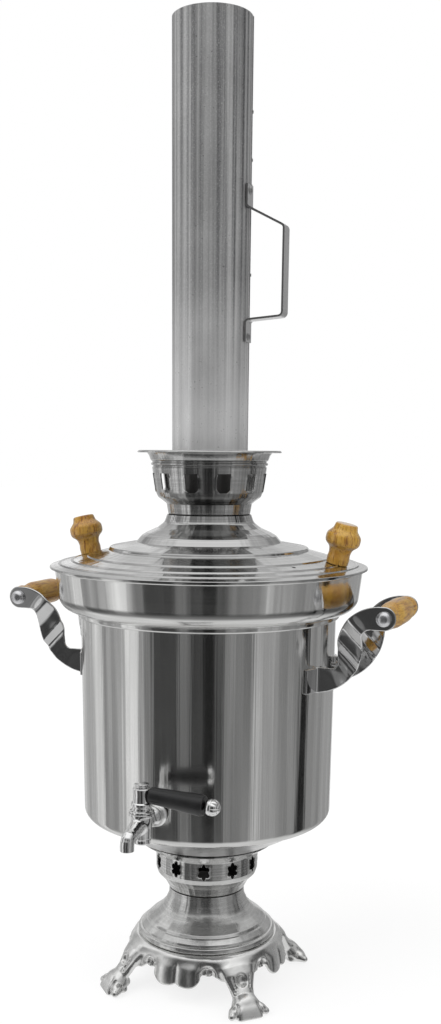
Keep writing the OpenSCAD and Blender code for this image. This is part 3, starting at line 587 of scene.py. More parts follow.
def plastic(name, tint, rough, coat=0):
    """Dark moulded stuff with a fine grain and lighter worn patches."""
    g = Surface(name)
    fine = g.noise(g.place, 700, 3, 0.6)
    wear = g.noise(g.place, 90, 4, 0.6)
    worn = tuple(part * 1.9 + 0.004 for part in tint)
    return g.finish(g.blend(g.span(wear, 0.4, 0.8, 0, 0.5), tint, worn),
                    g.span(wear, 0.3, 0.8, rough - 0.04, rough + 0.12), g.bump(fine, 0.01),
                    more={"Coat Weight": coat, "Coat Roughness": 0.06} if coat else None)


def iron(name, tint, rough, metallic=1):
    """Unpolished metal with fine grain and darker blots."""
    g = Surface(name)
    fine = g.noise(g.place, 600, 4, 0.65)
    blot = g.noise(g.place, 60, 4, 0.6)
    colour = g.blend(g.span(blot, 0.3, 0.75, 0, 0.7), tint, dim(tint, 0.55))
    return g.finish(colour, metal=metallic, relief=g.bump(fine, 0.06),
                    rough=g.span(blot, 0.3, 0.75, rough - 0.06, rough + 0.1))


STEEL = (0.80, 0.80, 0.79)
TANK = sheet_metal("tank_polish", STEEL, 0.115, upright=1, aniso=0.85, wave=1.2)
SPUN = sheet_metal("spun_polish", STEEL, 0.10, rings=1, aniso=0.6, wave=1.6)
STAND = sheet_metal("stand_satin", (0.90, 0.90, 0.89), 0.25, rings=1.2, wave=1.5, stain=0.5, lines=0.3,
                    dents=1.6)
# its dark ring at 336.5 mm is a painted reflection
BOWL = sheet_metal("bowl_polish", STEEL, 0.12, rings=1, aniso=0.75, wave=1.6, painted_reflection_at=336.5)
DOME = sheet_metal("dome_satin", (0.76, 0.76, 0.755), 0.29, rings=1.5, wave=2, lines=0.5)
RINGED = sheet_metal("ringed_satin", (0.86, 0.86, 0.85), 0.22, rings=1.5, aniso=0.3, wave=3, stain=0.1,
                     lines=0.45)
LID = sheet_metal("lid_polish", (0.62, 0.62, 0.615), 0.12, rings=1.2, aniso=0.4, wave=2.4, lines=0.35)
CROWN = sheet_metal("crown_polish", (0.64, 0.64, 0.635), 0.15, upright=0.3, rings=1, aniso=0.4, wave=2.4,
                    lines=0.4)
CAST = cast_metal("cast_satin", (0.92, 0.92, 0.91), 0.24, 0.6)
CHROME = cast_metal("chrome", (0.93, 0.93, 0.93), 0.10, 0.25)
NUT = cast_metal("nut_satin", (0.80, 0.80, 0.82), 0.30, 0.4)
BRACKET = sheet_metal("bracket_polish", (0.74, 0.74, 0.74), 0.08, upright=0.3, wave=1.6, stain=0.2)
STRAP = sheet_metal("strap_steel", (0.72, 0.72, 0.72), 0.28, upright=0.3, wave=0.3, stain=0.2)
ZINC = galvanised("galvanised_sheet")
WOOD_UP = wood("knob_wood", 2, (206, 190, 84), 1)
WOOD_ALONG = wood("grip_wood", 1, (200, 184, 64), 0.3)
BLACK = plastic("lever_black", (0.009, 0.009, 0.0095), 0.34, 0.15)
RUBBER = plastic("gasket_fibre", (0.03, 0.022, 0.02), 0.6)
# near black: the firebox's soot, and painted shade in the stand's seam
SOOT_AND_SHADE = iron("soot_and_painted_shade", (0.035, 0.033, 0.03), 0.6, 0.2)
GRATE = iron("grate_casting", (0.06, 0.06, 0.06), 0.6)
FIXING = iron("fixing_steel", (0.62, 0.62, 0.62), 0.3)


# ---- sheet pieces of the stand and the tank

THIN, THICK = 0.8, 1  # sheet of the tank and the lid, and of the stand and the crown
# the groove between these heights is blackened as painted shade
STAND_SEAM = (84.1, 85.4)  # heights of the groove between the pedestal and the air collar
THROAT_R = 34  # what lies flat within this radius is inside the stand
FLANGE_R = 57.2  # the collar's flange ends just outside this radius
VENT_R, VENT_LOW, VENT_HIGH = 44, 103.65, 118.75  # the collar's straight wall
OPENINGS = 11  # air holes in the collar, and windows in the crown


SLOTS = {row["node"]: row["material_slot"] for row in frame["record"]["subparts"]}


def dress(ob, mat):
    ob.data.materials.clear()
    ob.data.materials.append(mat)


def add_piece(ob, mat, body, node):
    """A piece on a body that stands for a CAD node, in the material given, with the node hidden."""
    dress(ob, mat)
    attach(ob, body)
    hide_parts(node)


def blacken_faces(ob, where):
    """Blackens the faces for which where(radius, height, outward, upward) is true."""
    ob.data.materials.append(SOOT_AND_SHADE)
    for face in ob.data.polygons:
        c, n = face.center, face.normal
        reach = hypot(c.x, c.y)
        if where(reach / MM, c.z / MM, (c.x * n.x + c.y * n.y) / reach, n.z):
            face.material_index = 1


def inside_or_seam(reach, height, outward, upward):
    flat = abs(upward) > 0.9
    # inside faces and the flat throat are blackened; the seam's groove is blackened as painted shade
    return outward < -0.15 or (flat and reach < THROAT_R) or STAND_SEAM[0] < height < STAND_SEAM[1]


def under_flange(reach, height, outward, upward):
    return reach < FLANGE_R and upward < 0.2


def six_lobes(height=14.5, narrow=0.72, n=72):
    """Outline of an elongated six-lobed air hole, lobes at its ends and two on each side."""
    points = []
    for k in range(n):
        a = tau * (k + 0.5) / n
        reach = height * (0.335 + 0.165 * abs(cos(3 * a)) ** 0.9)
        points.append((reach * narrow * sin(a), reach * cos(a)))
    return points


pedestal = lathe("stand_pedestal", sheet(rounded([
    (45.8, 43.1), (59.8, 43.1, 2.3), (59.8, 49, 2.3), (56.6, 49, 0.5), (56.1, 50.8, 1.3), (52.8, 54.4, 0.8),
    (51.6, 54.8, 0.6), (50.2, 57, 3), (43, 62.4, 16), (36.6, 69.2, 14), (33, 77, 12), (32.5, 83.9),
    (31.6, 84.9)]), THICK))
add_piece(pedestal, STAND, "tank", "pedestal")
blacken_faces(pedestal, inside_or_seam)

collar = holed_ring(
    "air_collar",
    rounded([(31.1, 84), (31.7, 85), (33.1, 85.5), (37, 93, 9), (42.8, 99, 5), (VENT_R, 103.5, 1),
             (VENT_R, VENT_LOW)]),
    rounded([(VENT_R, VENT_HIGH), (44.1, 119.3, 0.3), (46.2, 120.2, 1.2), (56.6, 128.1, 0.8),
             (57.8, 128.5)]),
    THICK, OPENINGS, first=-71.3, hole=six_lobes(), lip=0.25)
add_piece(collar, RINGED, "tank", "vent_collar")
blacken_faces(collar, inside_or_seam)

dome = lathe("tank_bottom", sheet(rounded([
    (42.6, 125.4), (46.5, 125.4, 1), (47.4, 127.6, 0.8), (55.8, 133.4, 0.8), (57.6, 131.6, 0.8),
    (60.4, 131.4, 1.5), (65.5, 134.2, 5), (96.9, 151.8, 2), (96.9, 157.2)], 8), THIN))
add_piece(dome, DOME, "tank", "lower_dome")
blacken_faces(dome, under_flange)

bowl = lathe("tank_bowl", sheet(rounded([
    (102.2, 322.1), (107.9, 322.1, 1.6), (107.9, 326.2, 1.6), (106.9, 327, 0.8), (121.7, 328.4, 13),
    (125.3, 360.4, 1.1), (127.3, 360.6)]), THIN))
add_piece(bowl, BOWL, "tank", "upper_bowl")


# ---- cast base
# Angles are in degrees from the middle of a side, so that a leg stands at 45.

SKIRT_TOP, SKIRT_R, SKIRT_WALL = 43, 61.7, 3.4
MM_PER_DEGREE = 1.19  # round the skirt
PILLOW_AT, ARCH_AT, ARCH_Z, ARCH_HALF = 8.7, 23, 29, 6.4
BORE_R = 43.8  # the base's open middle
SOLE = 0.8  # the paws keep their shape below this height


def skirt(R, Z, angle):
    """A shoulder and a wall that swells into two pillows on each side, round a flat ledge."""
    drop = np.clip(SKIRT_TOP - Z, 0, 40)
    bell = SKIRT_R + 3.9 * (1 - np.exp(-drop / 2.3)) + 3.3 * ease(drop, 2, 24)
    pillow = np.sqrt(np.clip(1 - ((angle - PILLOW_AT) / 9) ** 2, 0.02, 1))
    bell = bell + ease(drop, 3.5, 11) * (2.6 * pillow - 0.4)
    # arched hollow with a curled rim between the pillows and the leg
    across, up = (angle - ARCH_AT) * MM_PER_DEGREE, Z - ARCH_Z
    arch = np.where(up > 0, np.hypot(across, up), np.abs(across))
    curl = np.hypot(across - 1.6, (Z - 31.5) * 0.8)
    bell = bell - 1.7 * ease(ARCH_HALF - arch, 0, 2.2) * ease(drop, 4, 9)
    bell = bell + 1 * ridge(arch, ARCH_HALF + 0.5, 1) * ease(drop, 3, 7)
    bell = bell + 1.5 * ridge(curl, 2.6, 0.9) * ease(across, -2.2, 0.4)
    bell = bell + 1.3 * ridge(across, -0.6, 0.9) * ease(34 - Z, 0, 3)
    wall = carve(meet(R - bell, bell - SKIRT_WALL - R), SKIRT_TOP - 0.05 - Z, 1.2)
    # lower edge: pillows, arch and leg roots
    past = np.clip(angle - PILLOW_AT, 0, 9.2) / 9.2
    edge = 27.6 - 10.6 * np.sqrt(np.clip(1 - past ** 2, 0, 1))
    edge = edge + 1.5 * ridge(angle, 0, 2) + ease(PILLOW_AT - angle, 0, 8)
    edge = edge - 4.5 * ease(angle, 27, 34)
    wall = carve(wall, (Z - edge) * 0.8, 1.6)
    ledge = meet(R - 61.6, BORE_R - R, np.abs(Z - 41.4) - 1.55)
    return mix(wall, ledge, 1)


def leg(U, V, Z):
    """A broad web that leaves the skirt, narrows at the knee and runs out to the paw."""
    # along the diagonal: distance out, height, half width and half thickness
    path = [(61, 38, 17, 4.6), (66, 33.5, 15.8, 4.9), (70, 28.5, 14.2, 5),
            (72.8, 23.5, 12.2, 5), (75.6, 18.6, 10.6, 5.2), (79.4, 14, 9.6, 5.4),
            (84.5, 10.5, 9.4, 5.4)]
    power = 2.2  # between a round section and a square one
    field = np.full(U.shape, FAR)
    for (u0, z0, w0, t0), (u1, z1, w1, t1) in zip(path, path[1:]):
        du, dz = u1 - u0, z1 - z0
        f = np.clip(((U - u0) * du + (Z - z0) * dz) / (du * du + dz * dz), 0, 1)
        away = np.hypot(U - u0 - f * du, Z - z0 - f * dz)
        width, thick = w0 + (w1 - w0) * f, t0 + (t1 - t0) * f
        q = ((away / thick) ** power + (V / width) ** power) ** (1 / power)
        field = np.minimum(field, (q - 1) * thick)
    return field


def paw(p):
    """An instep, a broad front toe with two cut facets, and a spread toe with a claw on each side."""
    U, V, Z = p
    field = ball(p, (84.5, 0, 8), (10, 11.2, 8.8))
    side = 6.2 + 0.46 * np.clip(13.5 - Z, 0, 13)
    toe = rounded_meet(4, np.abs(U - 87.3) - 10.2, V - side, np.abs(Z - 5.8) - 6.6)
    field = mix(field, toe, 1.4)
    spread = capsule(p, (83, 5.6, 7.4), (88.6, 11.2, 5), 5.8, 4.6)
    claw = capsule(p, (87, 12, 4.6), (91, 15.4, 3.2), 4.2, 3)
    heel = ball(p, (77.6, 0, 5.4), (5.6, 5.8, 5.2))
    for part in (spread, claw, heel):
        field = mix(field, part, 2)
    field = carve(field, capsule(p, (88.5, 9.4, 11), (96, 11.6, 4), 0.6, 0.6), 1.2)
    # each facet goes through (u, up) and leans with this cosine from upright
    for u, up, lean in ((95.4, 4.6, 0.93), (92.4, 10, 0.70)):
        facet = (U - u) * lean + (Z - up) * sqrt(1 - lean * lean)
        field = carve(field, -facet, 1.8)
    return field


def base_field(h=0.7):
    """One quarter of the base, with its leg on the diagonal, mirrored into the whole."""
    reach, height, below = 101, 48, 2
    n = int(reach / h) + 1
    across, up = (np.arange(n) + 0.5) * h, np.arange(int(height / h) + 1) * h - below
    X, Y, Z = np.meshgrid(across, across, up, indexing="ij")
    U, V = (X + Y) / sqrt(2), np.abs(X - Y) / sqrt(2)  # along the leg, and aside from it
    R = np.hypot(X, Y)
    p = (U, V, Z)
    body = mix(skirt(R, Z, 45 - np.degrees(np.arctan2(V, U))), leg(U, V, Z), 3.4)
    # spoon hollow over the knee, and three leaf veins down each flank
    body = carve(body, ball(p, (77.4, 0, 27.6), (4.6, 5.2, 5.6)), 1.8)
    for v0, v1, z0, z1 in ((7.4, 5.6, 29, 17.5), (10.2, 7.6, 31, 18.5), (12.8, 9.4, 31.5, 21)):
        vein = capsule(p, (75.2 - 0.12 * v0, v0, z0), (80.2, v1, z1), 0.55, 0.35)
        body = carve(body, vein, 0.9)
    body = mix(body, paw(p), 2)
    # flat on the floor, and open underneath and through the middle
    hollow = carve(R - 60, 39.6 - Z, 1.5)
    body = meet(body, 0.02 - Z, -hollow, BORE_R - R)
    whole = np.concatenate([body[::-1], body], 0)
    whole = np.concatenate([whole[:, ::-1], whole], 1)
    return whole, np.array((-(n - 0.5) * h, -(n - 0.5) * h, -below)), h


foot_verts, foot_faces = skin(*base_field())
foot_verts = relax(foot_verts, foot_faces, 8, keep=foot_verts[:, 2] < SOLE)
# its creases are darkened as painted shade through the hollow attribute
foot = skin_object("cast_foot", foot_verts, foot_faces, hollows(foot_verts, foot_faces))
add_piece(foot, CAST, "tank", "foot_base")


# ---- lid and crown

BRIM_R, BRIM_Z, BRIM_SLOPE = 129.3, 363, 0.23642
BAND_R, BAND_Z, BAND_LEAN = 43.1, 421.2, 3 / 19.6  # the crown's leaning wall
WINDOW_LOW, WINDOW_HIGH = 421.35, 436.25  # the part of it that has the windows
WINDOW_HALF_W, WINDOW_HALF_H, WINDOW_CUT = 5.2, 7.25, 2.5


def brim_z(r):
    return BRIM_Z + (BRIM_R - r) * BRIM_SLOPE


def rib(r, half_foot=1.2, half_top=0.48, height=0.7):
    """A turned rib on the lid's brim, listed inwards."""
    top = brim_z(r) + height
    return [(r + half_foot, brim_z(r + half_foot)), (r + half_top, top), (r - half_top, top),
            (r - half_foot, brim_z(r - half_foot))]


def steam_holes(ob, radius=103.3, turns=(150, 330), hole_r=1.5, reach=4):
    """Cuts the brim's two round steam holes."""
    for turn in turns:
        a = radians(turn)
        at = shift(radius * cos(a), radius * sin(a), brim_z(radius))
        drill = lathe("drill", [(0, -reach), (hole_r, -reach), (hole_r, reach), (0, reach)], 32, place=at)
        cut = ob.modifiers.new("steam", "BOOLEAN")
        cut.object, cut.operation, cut.solver = drill, "DIFFERENCE", "EXACT"
        pierced = bpy.data.meshes.new_from_object(ob.evaluated_get(bpy.context.evaluated_depsgraph_get()))
        ob.modifiers.clear()
        ob.data = pierced
        bpy.data.objects.remove(drill)
    shade(ob.data)


def crown_wall(z):
    return BAND_R + (z - BAND_Z) * BAND_LEAN


def window():
    """Outline of a window with its two lower corners cut off."""
    w, h, c = WINDOW_HALF_W, WINDOW_HALF_H, WINDOW_CUT
    return [(-w, h), (-w, c - h), (c - w, -h), (w - c, -h), (w, c - h), (w, h)]


lid = lathe("lid_sheet", sheet(rounded(
    [(BRIM_R, 361.6), (BRIM_R, BRIM_Z, 0.9)] + rib(121.3) + rib(111.3) +
    [(99.2, brim_z(99.2)), (98.4, 371.2), (81.6, 375.7, 1.2), (80.6, 378, 1.6), (59.2, 381.8, 0.8),
     (56.4, 385, 1.6), (54.6, 387, 2.5), (50.4, 389.4, 2.5), (42.2, 393, 8), (36.2, 397.6, 7),
     (34.1, 403.6)]), THIN), 288)
steam_holes(lid)
ring = lathe("lid_ring", sheet([(122.6, 351.6), (123.7, 363.3)], THIN))
add_piece(lid, LID, "lid", "lid")
add_piece(ring, SPUN, "lid", "lid")

crown = holed_ring(
    "crown_ring",
    rounded([(29.4, 403.8), (33.1, 403.8, 1.3), (34.5, 412.2), (36.9, 414.2, 2), (41.5, 417.4, 4),
             (BAND_R, BAND_Z, 0.6), (crown_wall(WINDOW_LOW), WINDOW_LOW)]),
    rounded([(crown_wall(WINDOW_HIGH), WINDOW_HIGH), (46.1, 440.6), (45, 441.6, 0.4), (46.9, 442.6, 0.7),
             (46.9, 443.8, 0.6), (45.6, 444.9, 0.5), (47.3, 446.4, 0.9), (48.4, 449.6), (50.7, 452.8, 3),
             (56.5, 452.8, 0.5), (56.9, 451.9)]),
    THICK, OPENINGS, first=-86.3, hole=window())
add_piece(crown, CROWN, "crown", "crown")


# ---- handle brackets

EYE_X, EYE_Y, EYE_Z = 157, 39.9, 332.5  # the right rear bracket's eye, on its outer face
WALL_R = 105.15  # the tank's wall, where the brackets' feet end


def bracket_field(h=0.5):
    """Right front bracket: a waisted plate whose ends are joined by a slanted joggle."""
    (X, Y, Z), origin = grid(h, (96, 170), (-44, -24), (266.5, 345))
    low = meet(np.hypot(X - 99.5, Z - 310.75) - 41, Z - 311, 101 - X)
    low = meet(low, -rounded_meet(5, X - 119.5, 290.25 - Z))
    high = meet(np.hypot(X - 154, Z - 307) - 34.5, 307 - Z, X - EYE_X)
    high = meet(high, -rounded_meet(6, 140.5 - X, Z - 323.5))
    shape = np.minimum(np.minimum(low, high), np.hypot(X - EYE_X, Z - EYE_Z) - 9)
    # the plate's own outline across its bends: distance along the slant from foot to eye, and depth
    bends = [(-13, -27), (-10, -27.3), (-4.6, -28.4), (-2.9, -29.3), (1.9, -33.1), (3.4, -33.6), (6, -33.9),
             (11, -34.5), (12.5, -34.9), (19.5, -38.4), (21, -38.85), (23, -39)]
    steep_from, steep_to = -2.9, 1.9
    along = (X - 130 + Z - 301.4) / sqrt(2)
    deep = np.interp(along, *zip(*bends)) - 0.07 * np.clip(X - 104, 0, 24) * ease(-along, 2, 8)
    inner = ease(along, -29, -16) * ease(31 - along, 0, 12)
    bow = inner * (0.9 * np.cos((X - 134) * 0.13) * np.cos((Z - 304) * 0.12) - 0.45)
    slope = np.where((along > steep_from) & (along < steep_to), 0.69, 0.96)
    plate = rounded_meet(0.55, shape, np.abs(Y - deep - bow) * slope - 1)
    R = np.hypot(X, Y)
    tab = meet(np.abs(R - 106.2) - 1, np.abs(Z - 280) - 9.6, Y + 27.5, -Y - 41.5)
    return meet(mix(plate, tab, 1.8), WALL_R - R), origin, h


def brackets():
    verts, faces = skin(*bracket_field())
    verts = relax(verts, faces, 3)
    for side, sx in (("right_", 1), ("left_", -1)):
        for end, sy in (("front", 1), ("rear", -1)):
            turned = faces if sx == sy else faces[:, ::-1]
            ob = skin_object("bracket_" + side + end, verts * np.array([sx, sy, 1]), turned)
            add_piece(ob, BRACKET, "tank", "handle_arm_" + side + end)


def cap_nuts():
    """Four domed cap nuts on the brackets' eyes, as one piece."""
    outline = rounded([(0, 0), (5.7, 0, 0.2), (5.9, 0.9, 0.3), (5.5, 2.6, 1.5), (3.9, 4.8, 3),
                       (0, 5.9)], 12)
    joined = bmesh.new()
    for sx in (-1, 1):
        for sy in (-1, 1):
            at = shift(sx * EYE_X, sy * EYE_Y, EYE_Z) @ Matrix.Rotation(-sy * pi / 2, 4, "X")
            nut = lathe("cap_nut", outline, 64, closed=False, place=at)
            joined.from_mesh(nut.data)
            bpy.data.objects.remove(nut)
    me = bpy.data.meshes.new("cap_nuts")
    joined.to_mesh(me)
    joined.free()
    add_piece(link_object("cap_nuts", me), NUT, "tank", "handle_cap_nuts")


brackets()
cap_nuts()


# ---- tap

TAP = np.array((0, -131, 180.5))  # on the plug's axis, at the height of the inlet


def tap_field(h=0.36):
    """Barrel, flange, shank and spout as one soft casting, measured from TAP."""
    p, origin = grid(h, (-11.5, 11.6), (-33, 19), (-15.5, 10))
    X, Y, Z = p
    R = np.hypot(X, Y)
    barrel = meet(R - (6.5 + (Z + 12) * 0.105), -12 - Z, Z - 8)
    barrel = mix(barrel, meet(R - 9.9, np.abs(Z - 7.4) - 1.05), 0.7)
    shank = meet(np.hypot(X, Z) - (5.9 + 2.6 * ease(Y, 9.5, 17.5)), -Y, Y - 18.2)
    body = mix(barrel, shank, 2.2)
    # spout: down its slope and round the bend to the mouth, as (y, z) and a radius at each point
    slope, bend, mouth = radians(10), 7, 26
    run = mouth - bend * (1 - sin(slope))
    drop = run * tan(slope)
    path = [(0, 1.6), (-run * 0.35, 0.3), (-run * 0.7, -drop * 0.7 + 0.1),
            (bend * sin(slope) - run, -drop)]
    for turn in (30, 50, 70, 90):
        a = radians(turn)
        path.append((-19.05 - bend * sin(a), -drop - bend * cos(slope) + bend * cos(a)))
    path.append((-mouth, -13.6))
    radii = [6.3, 6, 5.7, 5.5, 5.35, 5.25, 5.2, 5.2, 5.25]
    tube = np.full(X.shape, FAR)
    for a, b, ra, rb in zip(path, path[1:], radii, radii[1:]):
        tube = mix(tube, capsule(p, (0, *a), (0, *b), ra, rb), 0.35)
    body = mix(body, tube, 2.4)
    # the mouth's cut and its bore, and the plug's bore
    body = np.where(Y < -18, meet(body, -14 - Z), body)
    body = carve(body, meet(np.hypot(X, Y + mouth) - 3.7, Z + 9), 0.5)
    return meet(body, 5.08 - R), origin + TAP, h


def tap_pieces():
    verts, faces = skin(*tap_field())
    verts = relax(verts, faces, 6)
    # the casting's creases are darkened as painted shade, at 0.6 of full depth
    casting = skin_object("tap_casting", verts, faces, hollows(verts, faces) * 0.6)
    add_piece(casting, CHROME, "tank", "tap_body")
    head = rounded([
        (0, -15), (4.9, -15), (4.9, 8.62), (9.3, 8.62, 0.5), (9.3, 10.3, 0.7), (7.6, 10.9, 0.5),
        (7.1, 13.4, 1.5), (8.1, 14.2, 0.6), (8.1, 16.2, 0.8), (6.9, 17, 0.6), (6.5, 21.5, 20),
        (6.9, 27.1, 0.5), (6.3, 28, 0.4), (0, 28)], 15)
    cap = rounded([
        (0, 28.15), (4.8, 28.15, 0.4), (4.8, 29.2, 0.4), (3.7, 29.6, 0.4), (3.9, 30.1, 0.3),
        (5.6, 30.3, 0.35), (5.5, 31.1, 0.4), (2.2, 31.75, 2), (0, 31.8)], 20)
    nut = rounded([(5.06, -15.95), (6, -15.95, 0.5), (6.5, -15, 0.5), (6.5, -12.7, 0.5),
                   (6.1, -12.1), (5.06, -12.1)], 20)
    for name, node, outline, segs in (("tap_head", "tap_plug", head, 96),
                                      ("tap_cap", "tap_top_cap", cap, 72),
                                      ("tap_foot_nut", "tap_plug_nut", nut, 72)):
        add_piece(lathe(name, outline, segs, place=shift(*TAP)), CHROME, "tap_cock", node)


def lever_ball():
    """The ball on the lever's end, with eight petals and two rings pressed into it."""
    radius, petals, out, up, droop = 6.5, 8, 57, 23.3, 4
    first_ring, second_ring = 0.62, 1.62  # radians from the ball's tip
    rings, segs = 56, 96
    flat_tip = 0.04  # share of the half circle that the tip leaves out
    lever = shift(*TAP + (0, 0, up)) @ Matrix.Rotation(radians(90 + droop), 4, "Y")
    verts, faces = [], []
    for i in range(rings + 1):
        a = pi * (flat_tip + (1 - flat_tip) * (1 - i / rings))
        for k in range(segs):
            turn = tau * k / segs
            petal = abs(sin(petals / 2 * turn)) ** 0.6
            press = 0.62 * (1 - petal) * sin(min(a * 1.6, pi)) ** 2
            press += 0.35 * ridge(a, first_ring, 0.1) + 0.5 * ridge(a, second_ring, 0.07)
            r = radius - press
            across, along = r * sin(a), out + r * cos(a)
            verts.append(lever @ Vector((across * cos(turn) * MM, across * sin(turn) * MM, along * MM)))
    for i in range(rings):
        here, there = i * segs, (i + 1) * segs
        faces += [(here + k, here + (k + 1) % segs, there + (k + 1) % segs, there + k) for k in range(segs)]
    faces.append(tuple(range(rings * segs, (rings + 1) * segs)))
    add_piece(mesh_object("lever_ball", verts, faces, 0), CHROME, "tap_cock", "tap_lever_ball")


tap_pieces()
lever_ball()


# ---- CAD nodes that no piece replaces

# looks of material slots, and of nodes that don't look like the rest of their slot
LOOKS = {
    "fire_steel": SOOT_AND_SHADE, "galvanised": ZINC, "grate_iron": GRATE, "wood": WOOD_UP, "fixings": FIXING,
    "chrome": CHROME, "black_plastic": BLACK, "gasket": RUBBER, "chimney_handle": STRAP,
    "body_shell": TANK, "handle_grip_left": WOOD_ALONG, "handle_grip_right": WOOD_ALONG,
}


def crisp_smoothing(weld=0.01 * MM, crisp_over=radians(28)):
    """Nodes that weld the tessellation, shade it smooth and keep its sharper edges crisp."""
    tree = bpy.data.node_groups.new("crisp_smooth", "GeometryNodeTree")
    for way in ("INPUT", "OUTPUT"):
        tree.interface.new_socket("Geometry", in_out=way, socket_type="NodeSocketGeometry")
    kinds = ("NodeGroupInput", "GeometryNodeRemoveAttribute", "GeometryNodeMergeByDistance",
             "GeometryNodeSetShadeSmooth", "GeometryNodeStoreNamedAttribute", "NodeGroupOutput")
    chain = [tree.nodes.new(kind) for kind in kinds]
    for before, after in zip(chain, chain[1:]):
        tree.links.new(before.outputs[0], after.inputs[0])
    drop, join, keep = chain[1], chain[2], chain[4]
    drop.inputs["Name"].default_value = "custom_normal"
    join.inputs["Distance"].default_value = weld
    angle = tree.nodes.new("GeometryNodeInputMeshEdgeAngle")
    sharper = tree.nodes.new("FunctionNodeCompare")
    sharper.data_type, sharper.operation = "FLOAT", "GREATER_THAN"
    sharper.inputs[1].default_value = crisp_over
    keep.data_type, keep.domain = "BOOLEAN", "EDGE"
    keep.inputs["Name"].default_value = "sharp_edge"
    tree.links.new(angle.outputs[0], sharper.inputs[0])
    tree.links.new(sharper.outputs[0], keep.inputs["Value"])
    return tree


smoothing = crisp_smoothing()
for name, ob in CAD.items():
    if not ob.hide_render:
        dress(ob, LOOKS.get(name) or LOOKS[SLOTS[name]])
        ob.modifiers.new("crisp", "NODES").node_group = smoothing


# ---- stage, light and camera

VIEW_TURN = radians(22)  # the camera stands so far to the right of the tap
WHITE, CEILING, GROUND, SKY = 1, 0.95, 0.75, 0.62  # grey levels

# Upright soft boxes round the object that only its polish shows: the degrees to the right of the
# camera at which each ends, from -180 on, and its level.
BOXES = [(-155, 0.70), (-126, 0.50), (-111, 0.80), (-91, 0.32), (-79, 0.45), (-66, 0.78), (-58, 0.34),
         (-50, 0.20), (-24, 0.06), (-16, 0.24), (-5, 0.06), (6, 0.02), (14, 0.08), (40, 0.22), (48, 0.46),
         (66, 0.34), (90, 0.25), (102, 0.015), (128, 0.29), (152, 0.42), (160, 0.30), (167, 0.60),
         (173, 1), (180, 0.70)]
BOX_EDGE = 1.3  # degrees on each side of a box's end over which it fades


def pale_floor(half=12, below=0.0004):
    """A floor that the camera sees near white, with the object's shadow on it."""
    me = bpy.data.meshes.new("floor")
    corners = [(-half, -half, 0), (half, -half, 0), (half, half, 0), (-half, half, 0)]
    me.from_pydata(corners, [], [(0, 1, 2, 3)])
    floor = link_object("floor", me)
    floor.location.z = -below
    floor.visible_glossy = False
    mat = bpy.data.materials.new("floor_white")
    mat.use_nodes = True
    g = Graph(mat.node_tree)
    seen = g.add("LightPath").outputs["Is Camera Ray"]
    paper = g.add("BsdfDiffuse", {"Color": g.blend(seen, 0.9, 0.27)})
    glow = g.add("Emission", {"Color": WHITE, "Strength": g.times(seen, 0.78)})
    both = g.add("AddShader", {0: paper.outputs[0], 1: glow.outputs[0]})
    g.add("OutputMaterial", {0: both.outputs[0]})
    dress(floor, mat)


def soft_boxes(g, azimuth, low, high):
    """Brightness by azimuth for the boxes between two azimuths in degrees."""
    stops, start = [], -180
    for end, level in BOXES:
        if start < high and end > low:
            sides = (max(start + BOX_EDGE, low), min(end - BOX_EDGE, high))
            stops += [((side - low) / (high - low), level) for side in sides]
        start = end
    return g.ramp(g.span(azimuth, radians(low), radians(high), 0, 1), stops)


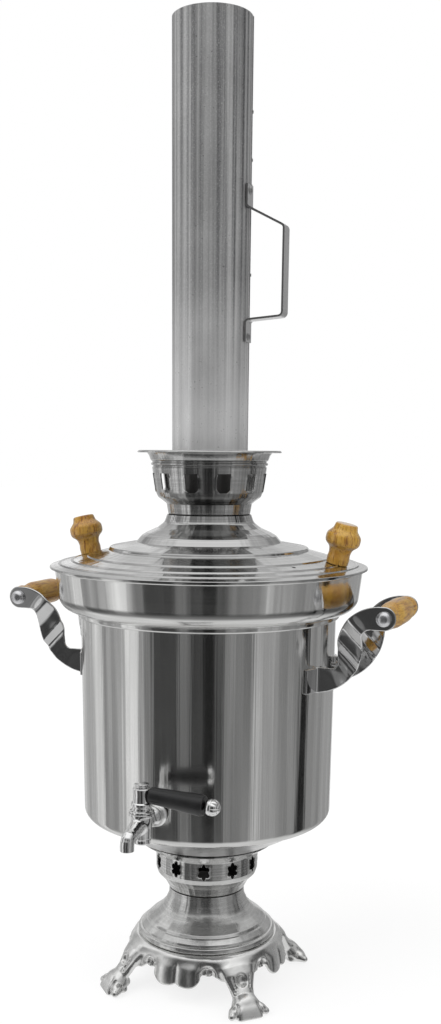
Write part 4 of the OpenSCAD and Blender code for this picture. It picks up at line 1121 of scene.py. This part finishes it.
def studio():
    """Even pale light, white for the camera, and the soft boxes for what mirrors."""
    world = bpy.data.worlds.new("studio")
    scene.world = world
    world.use_nodes = True
    g = Graph(world.node_tree)
    way = g.add("TexCoord").outputs["Generated"]
    turned = g.add("VectorRotate", {"Vector": way, "Angle": -VIEW_TURN}, rotation_type="Z_AXIS")
    x, y, z = g.add("SeparateXYZ", {0: turned.outputs[0]}).outputs
    azimuth = g.math("ARCTAN2", x, g.times(y, -1))
    strips = g.blend(g.math("GREATER_THAN", azimuth, 0), soft_boxes(g, azimuth, -180, 0),
                     soft_boxes(g, azimuth, 0, 180))
    # folds of the boxes' cloth, as powers of two of their level
    ring = g.vec(g.math("COSINE", azimuth), g.math("SINE", azimuth), g.times(z, 0.12))
    folds = g.math("ADD", g.span(g.noise(ring, 9, 4, 0.66), 0.3, 0.7, -0.7, 0.55),
                   g.span(g.noise(ring, 38, 3, 0.65), 0.3, 0.7, -0.6, 0.5))
    strips = g.blend(1, strips, g.math("POWER", 2, folds), "MULTIPLY")
    # from the horizon up to a white ceiling, and down to a grey floor
    seen = g.blend(g.span(z, 0.42, 0.75, 0, 0.8, True), strips, g.blend(0.4, CEILING, strips))
    seen = g.blend(g.span(z, 0.72, 0.90, 0, 1, True), seen, WHITE)
    seen = g.blend(g.span(z, -0.43, -0.72, 0, 0.85, True), seen, GROUND)
    rays = g.add("LightPath").outputs
    shiny = g.math("MAXIMUM", rays["Is Glossy Ray"], rays["Is Transmission Ray"])
    colour = g.blend(rays["Is Camera Ray"], g.blend(shiny, SKY, seen), WHITE)
    light = g.add("Background", {"Color": colour, "Strength": 1})
    g.add("OutputWorld", {0: light.outputs[0]})


def sun(name, azimuth, elevation, strength, angle):
    """A wide soft lamp; its azimuth is from the tap towards the lever."""
    light = bpy.data.lights.new(name, "SUN")
    light.energy, light.angle = strength, radians(angle)
    ob = link_object(name, light)
    a, e = radians(azimuth), radians(elevation)
    back = Vector((sin(a) * cos(e), -cos(a) * cos(e), sin(e)))
    ob.rotation_mode = "QUATERNION"
    ob.rotation_quaternion = back.to_track_quat("Z", "Y")
    ob.visible_glossy = False


def camera(distance=937, height=452, pitch=76, roll=0.4):
    """The photograph's camera: its distance from the axis and height, and its turns in degrees."""
    cam = bpy.data.cameras.new("camera")
    cam.sensor_width, cam.lens = 36, 39.92
    cam.shift_x, cam.shift_y = 0.0125, 0.2186
    cam.clip_start, cam.clip_end = 0.05, 50
    ob = link_object("camera", cam)
    ob.matrix_world = (shift(distance * sin(VIEW_TURN), -distance * cos(VIEW_TURN), height)
                       @ Matrix.Rotation(VIEW_TURN, 4, "Z") @ Matrix.Rotation(radians(pitch), 4, "X")
                       @ Matrix.Rotation(radians(roll), 4, "Z"))
    scene.camera = ob


pale_floor()
studio()
sun("key", azimuth=-35, elevation=48, strength=1.1, angle=50)
sun("fill", azimuth=75, elevation=38, strength=0.5, angle=70)
camera()
scene.view_settings.view_transform = "Standard"
